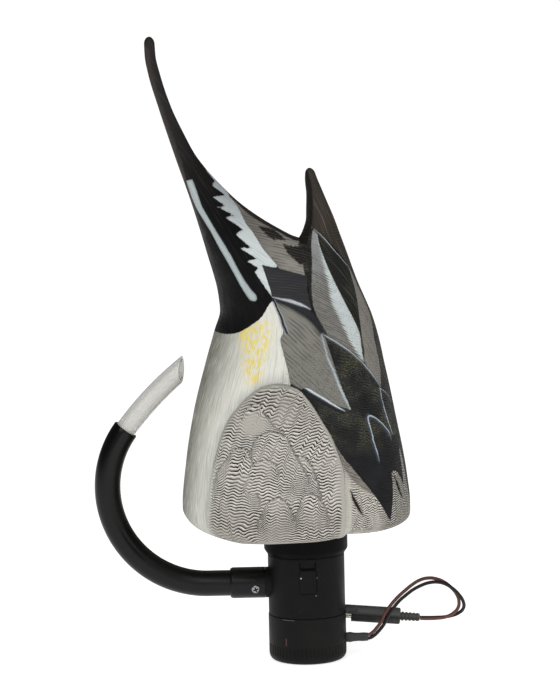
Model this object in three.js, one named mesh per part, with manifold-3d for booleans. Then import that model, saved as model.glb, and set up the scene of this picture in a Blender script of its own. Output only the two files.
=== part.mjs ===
// A standing motion duck decoy: the back half of a feeding duck, tail up, with a small pump under its flat
// bottom, a hose with a clear nozzle beside it, and a short lead with a snap connector.
// Millimetres, +Z up. The origin is the centre of the pump's foot, +X is the duck's back, -X its belly.
import * as THREE from 'three';
import { mergeVertices } from 'three/addons/utils/BufferGeometryUtils.js';
import Module from 'manifold-3d';

const wasm = await Module();
wasm.setup();

// Driving dimensions of the body
const FLOOR_Z = 110; // underside of the body
const TAIL_TOP = 503.7;
const WING_TOP = 397;
const RIM_RADIUS = 11; // rounding of the body's bottom edge
const TAIL_TIP_RADIUS = 6;
const WING_TIP_RADIUS = 4;
const WING_FOOT = 181; // height where the folded wing grows out of the body
const FLANK_RAISE = 2.6; // how far the flank feathers stand proud
const FLANK_STEP = 5; // width of the step at the flank's edge
const FLANK_TOP = 234;
const GAP = 0.3; // clearance between touching pieces

// Driving dimensions of the pump
const CAP_RADIUS = 31.3;
const CAP_TOP = 38;
const CAP_CORNER = 6.5;
const HOUSING_RADIUS = 30.9;
const HOUSING_TOP = 86.5;
const COLLAR_RADIUS = 33.7;
const COLLAR_CHAMFER = 4;
const LATCH_WIDTH = 13.4;
const LATCH_BOTTOM = 58.8;
const LATCH_TOP = 77.6;
const LATCH_PROUD = 0.6;
const WINDOW_HEIGHT = 5.8;
const WINDOW_DEPTH = 1.6;
const WINDOW_LEDGE = 0.8; // between the latch and its window

// Driving dimensions of the water path
const OUTLET_Z = 63;
const OUTLET_RADIUS = 11.6;
const SPIGOT_RADIUS = 8.3;
const SPIGOT_END = 46;
const SLEEVE_RADIUS = 12.5;
const SLEEVE_START = 33.5;
const SLEEVE_END = 61.5;
const HOSE_RADIUS = 10.5;
const HOSE_BORE = 8.8;
const HOSE_STRAIGHT_END = 79;
const HOSE_BEND = 79.4;
const HOSE_SWEEP = THREE.MathUtils.degToRad(127.3);
const NOZZLE_RADIUS = 8.4;
const NOZZLE_BORE = 6.8;
const NOZZLE_INSERT = 15; // length of the nozzle inside the hose
const NOZZLE_BEND = 277;
const NOZZLE_SWEEP = THREE.MathUtils.degToRad(13.6);
const MOUTH_TURN = THREE.MathUtils.degToRad(14); // the slanted mouth looks a little towards -Y
const SCREW_RADIUS = 3.5;
const SCREW_HEIGHT = 2;
const SCREW_X = -41;
const SCREW_DROP = THREE.MathUtils.degToRad(14); // below the sleeve's side line

// Driving dimensions of the lead
const LEAD_RADIUS = 1.4;
const LEAD_EXIT_X = 48.8;
const LEAD_UPPER_Z = 17.8;
const LEAD_LOWER_Z = 14.4;
const CONNECTOR_START = [30.6, 16, 33];
const CONNECTOR_TILT = THREE.MathUtils.degToRad(5);
const LANE_RADIUS = 3.9;
const LANE_OFFSET = 2.9;
const LOWER_LANE_START = 5.5;
const SHELL_END = 45.4;
const RELIEF_END = 61.2;
const PIN_RADIUS = 1.5;
const SOCKET_RADIUS = 2.2;
const SOCKET_DEPTH = 10;

// Mesh density
const BODY_HALF_COLUMNS = 20;
const WING_HALF_COLUMNS = 13;
const ROUND_SIDES = 32;
const HOSE_SIDES = 12;

const finish = {
  painted: { color: 0xb9b4aa, roughness: 0.62, metalness: 0 },
  housing: { color: 0x2f2f31, roughness: 0.5, metalness: 0 },
  cap: { color: 0x333335, roughness: 0.5, metalness: 0 },
  sleeve: { color: 0x2c2d2f, roughness: 0.45, metalness: 0 },
  steel: { color: 0xb5b7ba, roughness: 0.3, metalness: 1 },
  hose: { color: 0x1f2021, roughness: 0.45, metalness: 0 },
  clear: { color: 0xe4e6e2, roughness: 0.1, metalness: 0 },
  rubber: { color: 0x27282a, roughness: 0.6, metalness: 0 },
  red: { color: 0x8a4a45, roughness: 0.45, metalness: 0 },
  black: { color: 0x1c1c1e, roughness: 0.45, metalness: 0 },
  contact: { color: 0xc9b079, roughness: 0.3, metalness: 1 },
};

const decoy = new THREE.Group();

function addPiece(name, geometry, look) {
  const mesh = new THREE.Mesh(geometry, new THREE.MeshStandardMaterial(finish[look]));
  mesh.name = name;
  decoy.add(mesh);
  return mesh;
}

// Joining and cutting closed geometries
function toSolid(geometry) {
  const bare = geometry.clone();
  bare.deleteAttribute('normal');
  bare.deleteAttribute('uv');
  const merged = mergeVertices(bare.index ? bare.toNonIndexed() : bare, 1e-4);
  const corners = merged.index.array;
  const kept = [];
  for (let i = 0; i < corners.length; i += 3) {
    const [a, b, c] = [corners[i], corners[i + 1], corners[i + 2]];
    if (a !== b && b !== c && c !== a) kept.push(a, b, c);
  }
  return new wasm.Manifold(
    new wasm.Mesh({
      numProp: 3,
      vertProperties: new Float32Array(merged.attributes.position.array),
      triVerts: new Uint32Array(kept),
    }),
  );
}

function toGeometry(solid) {
  const { vertProperties, triVerts } = solid.getMesh();
  const geometry = new THREE.BufferGeometry();
  geometry.setAttribute('position', new THREE.BufferAttribute(new Float32Array(vertProperties), 3));
  geometry.setIndex(new THREE.BufferAttribute(new Uint32Array(triVerts), 1));
  return geometry;
}

// A closed solid through a stack of rings, each counter-clockwise as seen from the end it runs to
function loft(rings) {
  const columns = rings[0].length;
  const points = rings.flat();
  const middle = (ring) => ring.reduce((sum, p) => sum.add(p), new THREE.Vector3()).divideScalar(columns);
  points.push(middle(rings[0]), middle(rings[rings.length - 1]));
  const [firstHub, lastHub] = [points.length - 2, points.length - 1];
  const lastRow = (rings.length - 1) * columns;
  const index = [];
  for (let j = 0; j < columns; j++) {
    const next = (j + 1) % columns;
    index.push(firstHub, next, j, lastHub, lastRow + j, lastRow + next);
    for (let row = 0; row < lastRow; row += columns) {
      const [a, b, c, d] = [row + j, row + next, row + columns + next, row + columns + j];
      index.push(a, b, c, a, c, d);
    }
  }
  const geometry = new THREE.BufferGeometry().setFromPoints(points);
  geometry.setIndex(index);
  return geometry;
}

// A profile of [radius, height] pairs turned round the +Z axis
function turned(profile, sides = ROUND_SIDES) {
  const points = profile.map(([radius, height]) => new THREE.Vector2(radius, height));
  return new THREE.LatheGeometry(points, sides).rotateX(Math.PI / 2);
}

function boxAt(size, centre) {
  return new THREE.BoxGeometry(...size).translate(...centre);
}

// A smooth function of height through [height, value] pairs, which never overshoots them
function curve(pairs) {
  const last = pairs.length - 1;
  const run = pairs.slice(1).map(([z], i) => z - pairs[i][0]);
  const rise = pairs.slice(1).map(([, v], i) => (v - pairs[i][1]) / run[i]);
  const slope = pairs.map((_, i) => {
    if (i === 0) return rise[0];
    if (i === last) return rise[last - 1];
    if (rise[i - 1] * rise[i] <= 0) return 0;
    const [w1, w2] = [2 * run[i] + run[i - 1], run[i] + 2 * run[i - 1]];
    return (w1 + w2) / (w1 / rise[i - 1] + w2 / rise[i]);
  });
  return (height) => {
    const z = THREE.MathUtils.clamp(height, pairs[0][0], pairs[last][0]);
    let i = 0;
    while (i < last - 1 && z > pairs[i + 1][0]) i++;
    const s = (z - pairs[i][0]) / run[i];
    return (
      pairs[i][1] * (1 + 2 * s) * (1 - s) ** 2 +
      slope[i] * run[i] * s * (1 - s) ** 2 +
      pairs[i + 1][1] * s * s * (3 - 2 * s) +
      slope[i + 1] * run[i] * s * s * (s - 1)
    );
  };
}

// Side view and widths of the body with its tail, by height
const belly = curve([
  [110, -98.2], [128, -98.2], [166, -94.3], [205, -87.2], [243, -77], [269, -69.2], [285, -64.4], [297, -65.4],
  [333, -74.2], [372, -85.3], [410, -97.7], [448, -109.4], [474, -116.6], [488, -118.9], [504, -119.3],
]);
const back = curve([
  [110, 84.4], [128, 84.6], [149, 82.7], [181, 77.6], [201, 73.2], [220, 68.8], [240, 63.5], [265, 55], [290, 44],
  [310, 31.5], [325, 18.5], [338, 4.5], [345, -8.7], [358, -30.2], [371, -47.3], [384, -60.4], [397, -71.9],
  [410, -81.3], [423, -88], [448, -99.2], [474, -107.2], [488, -110.2], [504, -110.9],
]);
const widestAt = curve([
  [110, -7], [180, -8], [225, -13], [265, -23], [300, -36], [333, -53.5], [360, -69.5], [390, -85.8],
  [417, -95.8], [448, -106.2], [470, -112], [488, -114.6], [504, -115.1],
]);
const halfWidth = curve([
  [110, 88], [128, 88], [166, 84.5], [205, 77], [240, 66.5], [265, 56.5], [290, 47.5], [310, 42], [333, 35],
  [350, 29], [372, 21], [390, 15], [405, 10.8], [423, 7.8], [448, 5.8], [488, 4.6], [504, 4.2],
]);
const squareness = curve([[110, 2.5], [205, 2.3], [265, 1.9], [300, 1.7], [340, 1.5], [400, 1.35], [450, 1.4], [490, 1.9], [504, 2]]);
const sideSquareness = curve([[110, 2.5], [205, 2.3], [265, 2], [504, 2]]);

// Side view and half width of the folded wing, by height
const wingFront = curve([
  [180, 72], [215, 50], [240, 32], [258, 22], [275, 14], [290, 9], [310, 6.5], [338, 6], [363, 6], [376, 6.4],
  [388, 5.6], [397, 6.2],
]);
const wingBack = curve([
  [180, 73], [201, 71.5], [220, 69], [240, 65.6], [253, 63.5], [266, 60.6], [279, 56.8], [292, 51.6], [305, 46.2],
  [318, 41.6], [331, 37.2], [344, 32.6], [357, 28.1], [370, 22.8], [382, 18], [389, 15.2], [397, 12.6],
]);
const wingHalf = curve([
  [180, 30], [215, 50], [240, 49], [265, 43.5], [285, 38.5], [300, 34.5], [320, 27.5], [338, 21], [350, 17.2],
  [363, 13.6], [376, 10], [388, 6.6], [397, 4.4],
]);

// The raised flank feathers lie between these two edges, measured round the body from the belly line
const flankFront = curve([
  [110, 73.5], [131, 73.5], [178, 72.2], [198, 72.6], [206, 74], [215, 77.9], [221, 80.9], [226, 84.6],
  [231, 89], [233, 94.2], [234, 99],
]);
const flankBack = curve([
  [110, 199], [123, 195], [135, 189.5], [151, 185], [163, 179], [184, 168.5], [204, 149], [221, 131],
  [229, 121], [232, 112], [234, 101],
]);

// A rounded end: how much of its section is left at a height below the tip
function tipShrink(z, top, radius) {
  const into = THREE.MathUtils.clamp((z - (top - radius)) / radius, 0, 0.999);
  return Math.sqrt(1 - into * into);
}

// How far the bottom edge is rounded inwards at a height
function rimInset(z) {
  const down = THREE.MathUtils.clamp((FLOOR_Z + RIM_RADIUS - z) / RIM_RADIUS, 0, 1);
  return RIM_RADIUS * (1 - Math.sqrt(1 - down * down));
}

// Half a section from the belly line round the -Y side to the back line
function halfSection(z, { front, rear, wide, half, px, py, columns, shrink }) {
  const middle = (front + rear) / 2;
  const towards = (x) => middle + (x - middle) * shrink;
  const centre = towards(wide);
  const points = [];
  for (let j = 0; j <= columns; j++) {
    const angle = Math.PI * (1 - j / columns);
    const [c, s] = [Math.cos(angle), Math.sin(angle)];
    const reach = c < 0 ? centre - towards(front) : towards(rear) - centre;
    const x = centre + Math.sign(c) * reach * Math.abs(c) ** (2 / px);
    const y = j === 0 || j === columns ? 0 : -half * shrink * s ** (2 / py);
    points.push(new THREE.Vector3(x, y, z));
  }
  return points;
}

// A whole ring from half a section and its mirror image
function mirrored(points) {
  const far = points.slice(1, -1).reverse();
  return [...points, ...far.map((p) => new THREE.Vector3(p.x, -p.y, p.z))];
}

function flankRaise(round, z) {
  const inside = Math.min(round - flankFront(z), flankBack(z) - round, FLANK_TOP - z);
  return FLANK_RAISE * THREE.MathUtils.smoothstep(inside, -FLANK_STEP / 2, FLANK_STEP / 2);
}

function bodyRing(z) {
  const points = halfSection(z, {
    front: belly(z),
    rear: back(z),
    wide: widestAt(z),
    half: halfWidth(z),
    px: squareness(z),
    py: sideSquareness(z),
    columns: BODY_HALF_COLUMNS,
    shrink: tipShrink(z, TAIL_TOP, TAIL_TIP_RADIUS),
  });
  const axis = new THREE.Vector3((belly(z) + back(z)) / 2, 0, z);
  let round = 0;
  const dressed = points.map((p, j) => {
    if (j > 0) round += p.distanceTo(points[j - 1]);
    const outwards = p.clone().sub(axis);
    const radius = outwards.length();
    return outwards.multiplyScalar((radius - rimInset(z) + flankRaise(round, z)) / radius).add(axis);
  });
  return mirrored(dressed);
}

function wingRing(z) {
  const middle = (wingFront(z) + wingBack(z)) / 2;
  return mirrored(
    halfSection(z, {
      front: wingFront(z),
      rear: wingBack(z),
      wide: middle,
      half: wingHalf(z),
      px: 2,
      py: 2,
      columns: WING_HALF_COLUMNS,
      shrink: tipShrink(z, WING_TOP, WING_TIP_RADIUS),
    }),
  );
}

// Heights from one level to another, evenly spaced
function levels(from, to, step) {
  const count = Math.max(1, Math.round((to - from) / step));
  return Array.from({ length: count }, (_, i) => from + ((to - from) * i) / count);
}

// Heights of a rounded end, closing up towards the tip
function tipLevels(top, radius) {
  return [0, 0.45, 0.75, 0.93].map((part) => top - radius + radius * part);
}

function makeBody() {
  const rimLevels = [0, 22, 45, 67].map((deg) => FLOOR_Z + RIM_RADIUS * (1 - Math.cos(THREE.MathUtils.degToRad(deg))));
  const bodyLevels = [
    ...rimLevels,
    ...levels(FLOOR_Z + RIM_RADIUS, 198, 9),
    ...levels(198, FLANK_TOP + 3, 6),
    ...levels(FLANK_TOP + 3, 345, 8.5),
    ...levels(345, TAIL_TOP - TAIL_TIP_RADIUS, 10),
    ...tipLevels(TAIL_TOP, TAIL_TIP_RADIUS),
  ];
  const wingLevels = [...levels(WING_FOOT, WING_TOP - WING_TIP_RADIUS, 9.5), ...tipLevels(WING_TOP, WING_TIP_RADIUS)];
  const trunk = toSolid(loft(bodyLevels.map(bodyRing)));
  const wing = toSolid(loft(wingLevels.map(wingRing)));
  return toGeometry(trunk.add(wing));
}

function makeCollar() {
  const bottom = HOUSING_TOP + GAP;
  return turned([
    [0, bottom],
    [HOUSING_RADIUS, bottom],
    [COLLAR_RADIUS, bottom + COLLAR_CHAMFER],
    [COLLAR_RADIUS, FLOOR_Z - GAP],
    [0, FLOOR_Z - GAP],
  ]);
}

function makeCap() {
  const corner = [0, 30, 60, 90].map((deg) => {
    const angle = THREE.MathUtils.degToRad(deg);
    return [CAP_RADIUS - CAP_CORNER + CAP_CORNER * Math.sin(angle), CAP_CORNER - CAP_CORNER * Math.cos(angle)];
  });
  return turned([[0, 0], ...corner, [CAP_RADIUS, CAP_TOP - GAP - 0.8], [CAP_RADIUS - 0.8, CAP_TOP - GAP], [0, CAP_TOP - GAP]]);
}

// Spigot and boss of the outlet, pointing along -X
function makeOutlet() {
  const profile = [
    [0, 0],
    [OUTLET_RADIUS, 0],
    [OUTLET_RADIUS, SLEEVE_START - GAP],
    [SPIGOT_RADIUS, SLEEVE_START - GAP],
    [SPIGOT_RADIUS, SPIGOT_END],
    [0, SPIGOT_END],
  ];
  return turned(profile, HOSE_SIDES * 2).rotateY(-Math.PI / 2).translate(0, 0, OUTLET_Z);
}

function makeHousing() {
  const drum = turned([[0, CAP_TOP], [HOUSING_RADIUS, CAP_TOP], [HOUSING_RADIUS, HOUSING_TOP], [0, HOUSING_TOP]]);
  const latchRadius = HOUSING_RADIUS + LATCH_PROUD;
  const band = toSolid(turned([[0, LATCH_BOTTOM], [latchRadius, LATCH_BOTTOM], [latchRadius, LATCH_TOP], [0, LATCH_TOP]]));
  const latchHeight = LATCH_TOP - LATCH_BOTTOM;
  const latchColumn = boxAt([LATCH_WIDTH, 4 * HOUSING_RADIUS, 2 * latchHeight], [0, 0, LATCH_BOTTOM + latchHeight / 2]);
  const latches = band.intersect(toSolid(latchColumn));
  let housing = toSolid(drum).add(toSolid(makeOutlet())).add(latches);
  const windowZ = LATCH_TOP + WINDOW_LEDGE + WINDOW_HEIGHT / 2;
  for (const side of [-1, 1]) {
    const window = boxAt([LATCH_WIDTH, 2 * WINDOW_DEPTH, WINDOW_HEIGHT], [0, side * HOUSING_RADIUS, windowZ]);
    housing = housing.subtract(toSolid(window));
  }
  return toGeometry(housing);
}

function makeSleeve() {
  const [inner, outer, bevel] = [HOSE_RADIUS + GAP, SLEEVE_RADIUS, 1.5];
  const profile = [
    [inner, SLEEVE_START],
    [outer, SLEEVE_START],
    [outer, SLEEVE_END - bevel],
    [outer - bevel * 0.6, SLEEVE_END],
    [inner, SLEEVE_END],
    [inner, SLEEVE_START],
  ];
  return turned(profile, HOSE_SIDES * 2).rotateY(-Math.PI / 2).translate(0, 0, OUTLET_Z);
}

function makeScrew() {
  const profile = [[0, 0], [SCREW_RADIUS, 0], [SCREW_RADIUS, SCREW_HEIGHT * 0.5], [SCREW_RADIUS * 0.6, SCREW_HEIGHT], [0, SCREW_HEIGHT]];
  const seat = SLEEVE_RADIUS + GAP;
  return turned(profile, 12)
    .rotateX(Math.PI / 2 + SCREW_DROP)
    .translate(SCREW_X, -seat * Math.cos(SCREW_DROP), OUTLET_Z - seat * Math.sin(SCREW_DROP));
}

// The water path in the plane y = 0: straight out of the sleeve, up round one bend, then on in a wider bend
class WaterPath extends THREE.Curve {
  constructor(from, to) {
    super();
    this.from = from;
    this.to = to;
  }

  getPoint(t, target = new THREE.Vector3()) {
    const along = this.from + (this.to - this.from) * t;
    if (along < WaterPath.straight) return target.set(-SLEEVE_START - along, 0, OUTLET_Z);
    const turn = Math.min((along - WaterPath.straight) / HOSE_BEND, HOSE_SWEEP);
    const x = -HOSE_STRAIGHT_END - HOSE_BEND * Math.sin(turn);
    const z = OUTLET_Z + HOSE_BEND * (1 - Math.cos(turn));
    const rest = Math.max(0, along - WaterPath.hoseEnd) / NOZZLE_BEND;
    const dx = NOZZLE_BEND * (Math.sin(HOSE_SWEEP + rest) - Math.sin(HOSE_SWEEP));
    const dz = NOZZLE_BEND * (Math.cos(HOSE_SWEEP) - Math.cos(HOSE_SWEEP + rest));
    return target.set(x - dx, 0, z + dz);
  }

  static straight = HOSE_STRAIGHT_END - SLEEVE_START;
  static hoseEnd = WaterPath.straight + HOSE_BEND * HOSE_SWEEP;
  static nozzleEnd = WaterPath.hoseEnd + NOZZLE_BEND * NOZZLE_SWEEP;
}

function ringShape(outer, bore) {
  const shape = new THREE.Shape().absarc(0, 0, outer, 0, 2 * Math.PI);
  if (bore) shape.holes.push(new THREE.Path().absarc(0, 0, bore, 0, 2 * Math.PI));
  return shape;
}

function tubeAlong(path, shape, steps, sides) {
  return new THREE.ExtrudeGeometry(shape, { extrudePath: path, steps, curveSegments: sides / 2 });
}

function makeHose() {
  const path = new WaterPath(GAP, WaterPath.hoseEnd);
  return tubeAlong(path, ringShape(HOSE_RADIUS, HOSE_BORE), 21, HOSE_SIDES);
}

// The nozzle runs past its end and is cut by an upright plane
function makeNozzle() {
  const overrun = 14;
  const path = new WaterPath(WaterPath.hoseEnd - NOZZLE_INSERT, WaterPath.nozzleEnd + overrun);
  const tube = toSolid(tubeAlong(path, ringShape(NOZZLE_RADIUS, NOZZLE_BORE), 10, HOSE_SIDES));
  const end = new WaterPath(0, WaterPath.nozzleEnd).getPoint(1);
  const cutter = new THREE.BoxGeometry(60, 60, 80).translate(30, 0, 0).rotateZ(-MOUTH_TURN).translate(end.x, end.y, end.z);
  return toGeometry(tube.subtract(toSolid(cutter)));
}

// The sealing sleeve where both leads leave the cap: two lobes, one above the other
function makeGland() {
  const lobeRadius = curve([[31.6, 2.3], [34, 2.55], [37.5, 2], [41, 1.8], [45, 1.95], [48.5, 1.7]]);
  const [middleZ, spread, sides] = [(LEAD_UPPER_Z + LEAD_LOWER_Z) / 2, (LEAD_UPPER_Z - LEAD_LOWER_Z) / 2, 14];
  const rings = [31.7, 34, 37.5, 41, 45, LEAD_EXIT_X - GAP].map((x) => {
    const radius = lobeRadius(x);
    return Array.from({ length: sides }, (_, i) => {
      const angle = (2 * Math.PI * i) / sides;
      const waist = 1 - 0.25 * Math.cos(angle) ** 4;
      return new THREE.Vector3(x, radius * Math.cos(angle) * waist, middleZ + (spread + radius) * Math.sin(angle));
    });
  });
  return loft(rings);
}

// Routes of the two leads, picked by hand: out of the gland, up past the connector, over and back into it
const redRoute = [
  [48.8, 0, 17.8], [50.4, 0, 18.1], [52.7, 0, 19.7], [55.9, 0, 23.1], [59.6, 0.2, 28], [62.7, 0.6, 34.2], [67.2, 1.3, 40.7],
  [73.1, 2.3, 47.2], [79.5, 3.5, 52.6], [85.3, 4.5, 57], [91.9, 5.5, 60.6], [98.5, 6.5, 61.9], [105, 7.2, 61],
  [111.5, 8.3, 58], [117.1, 9.4, 53.2], [121.5, 10.4, 47.5], [123.5, 11.2, 41.5], [122.7, 12, 35.5],
  [118.6, 12.7, 30.9], [112.9, 13.2, 28.1], [105.6, 13.6, 27], [98.3, 14, 26.8], [91.9, 14.2, 27],
];
const blackRoute = [
  [48.8, 0, 14.4], [51.2, 0, 14.6], [54.9, 0, 16.5], [59.1, 0, 20.2], [63.2, 0, 25.5], [66.6, 0, 32.1], [70.6, 0.1, 38.4],
  [75.4, 0.5, 45.2], [79.6, 1, 48.9], [85.1, 1.6, 53], [91.7, 2.2, 56.4], [98.2, 2.8, 58.6], [104.7, 3.4, 59.1],
  [111.3, 3.8, 57.7], [117.8, 4.7, 53.5], [123.5, 6.2, 47.4], [127.4, 8.7, 40.6], [127.3, 11.8, 35.1],
  [123.7, 14.6, 31], [118, 16.5, 28.3], [112.3, 17.4, 27.2], [105, 17.9, 26.8], [98.5, 18, 26.8], [91.9, 18, 27],
];

function makeLead(route) {
  const path = new THREE.CatmullRomCurve3(route.map((p) => new THREE.Vector3(...p)), false, 'centripetal');
  return tubeAlong(path, ringShape(LEAD_RADIUS), 28, 8);
}

// The connector is drawn with its mouth at x = 0 and its lead leaving along +X
function placeConnector(geometry) {
  return geometry.rotateY(CONNECTOR_TILT).translate(...CONNECTOR_START);
}

function rodAlongX(radius, from, to, z, sides) {
  return new THREE.CylinderGeometry(radius, radius, to - from, sides).rotateZ(Math.PI / 2).translate((from + to) / 2, 0, z);
}

function makeConnectorShell() {
  const upper = toSolid(rodAlongX(LANE_RADIUS, 0, SHELL_END, LANE_OFFSET, 8));
  const lower = toSolid(rodAlongX(LANE_RADIUS, LOWER_LANE_START, SHELL_END, -LANE_OFFSET, 8));
  const web = toSolid(boxAt([SHELL_END - LOWER_LANE_START, 6, 2 * LANE_OFFSET], [(SHELL_END + LOWER_LANE_START) / 2, 0, 0]));
  const socket = toSolid(rodAlongX(SOCKET_RADIUS, -1, SOCKET_DEPTH, LANE_OFFSET, 8));
  const slot = toSolid(boxAt([6.5, 3, 2.6], [6.8, -LANE_RADIUS, LANE_OFFSET]));
  const relief = [[0, SHELL_END - 1]];
  for (let rib = 0; rib < 5; rib++) {
    const start = SHELL_END + 1 + rib * 3;
    relief.push([3.7 - rib * 0.1, start], [3.7 - rib * 0.1, start + 1.6], [2.9, start + 2]);
  }
  relief.push([2.9, RELIEF_END], [0, RELIEF_END]);
  const tail = toSolid(turned(relief, 10).rotateY(Math.PI / 2));
  return placeConnector(toGeometry(upper.add(lower).add(web).add(tail).subtract(socket).subtract(slot)));
}

function makeConnectorPin() {
  return placeConnector(rodAlongX(PIN_RADIUS, 0.4, LOWER_LANE_START - GAP, -LANE_OFFSET, 8));
}

addPiece('decoy_body', makeBody(), 'painted');
addPiece('mounting_collar', makeCollar(), 'housing');
addPiece('pump_housing', makeHousing(), 'housing');
addPiece('motor_cap', makeCap(), 'cap');
addPiece('outlet_sleeve', makeSleeve(), 'sleeve');
addPiece('sleeve_screw', makeScrew(), 'steel');
addPiece('water_hose', makeHose(), 'hose');
addPiece('nozzle_tube', makeNozzle(), 'clear');
addPiece('lead_gland', makeGland(), 'rubber');
addPiece('lead_red', makeLead(redRoute), 'red');
addPiece('lead_black', makeLead(blackRoute), 'black');
addPiece('connector_shell', makeConnectorShell(), 'rubber');
addPiece('connector_pin', makeConnectorPin(), 'contact');

export default decoy;
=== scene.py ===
"""A standing motion duck decoy, dressed around its solid frame.

The back half of a feeding duck stands tail up on a small round pump. A hose with a clear nozzle rises on
its belly side, and a short lead with a snap connector lies on its back side. Shapes are worked out in
millimetres and made in metres. The origin is the centre of the pump's foot, +Z is up, +X is the duck's back
and -X its belly.
"""
import logging
import math
from collections.abc import Sequence
from dataclasses import dataclass
from enum import Enum

import bpy
import numpy as np
from mathutils import Matrix, Vector


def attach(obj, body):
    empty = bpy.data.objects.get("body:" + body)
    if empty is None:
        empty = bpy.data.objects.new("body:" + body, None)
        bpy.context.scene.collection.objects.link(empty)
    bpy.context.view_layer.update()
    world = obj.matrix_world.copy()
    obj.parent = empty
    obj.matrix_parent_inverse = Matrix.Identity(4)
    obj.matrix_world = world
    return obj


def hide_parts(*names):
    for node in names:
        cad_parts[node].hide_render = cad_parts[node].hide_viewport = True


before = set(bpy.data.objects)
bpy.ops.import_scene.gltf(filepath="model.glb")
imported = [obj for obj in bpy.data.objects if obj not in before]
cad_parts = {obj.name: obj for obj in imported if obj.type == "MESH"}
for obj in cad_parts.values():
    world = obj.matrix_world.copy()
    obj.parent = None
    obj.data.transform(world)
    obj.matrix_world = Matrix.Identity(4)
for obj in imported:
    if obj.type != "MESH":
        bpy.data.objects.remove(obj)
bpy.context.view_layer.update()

MM = 0.001
LOG = logging.getLogger("decoy")

Colour = tuple[float, float, float, float]
Point = tuple[float, float]
Face = tuple[int, ...]
Place = tuple[float, float, float]
Socket = bpy.types.NodeSocket
Tone = Socket | Colour | str
Array = np.ndarray
Piece = bpy.types.Object
Tree = bpy.types.NodeTree
Node = bpy.types.Node
Material = bpy.types.Material


def paint(code: str) -> Colour:
    """Turn a colour as seen into the linear colour that a shader takes.

    Args:
        code: Its red, green and blue, as two hex digits each.

    Returns:
        The linear colour with full alpha.
    """
    shares = [int(code[i:i + 2], 16) / 255 for i in (0, 2, 4)]
    linear = [v / 12.92 if v <= 0.04045 else ((v + 0.055) / 1.055) ** 2.4 for v in shares]
    return (*linear, 1.0)


class Slot(Enum):
    """Material slots of the record."""

    BODY = "painted_body"
    PUMP = "pump_plastic"
    CAP = "cap_plastic"
    SLEEVE = "sleeve_rubber"
    SCREW = "screw_steel"
    HOSE = "hose_vinyl"
    TUBE = "clear_tube"
    SEAL = "seal_rubber"
    RED_WIRE = "red_wire"
    BLACK_WIRE = "black_wire"
    CONNECTOR = "connector_rubber"
    CONTACT = "contact_metal"


class Chart(Enum):
    """Two ways to measure round the body: from the belly line, or from the back line."""

    BELLY = "belly"
    BACK = "back"


class Join(Enum):
    """How two closed pieces become one."""

    UNION = "UNION"
    CUT = "DIFFERENCE"


# Node trees


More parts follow.
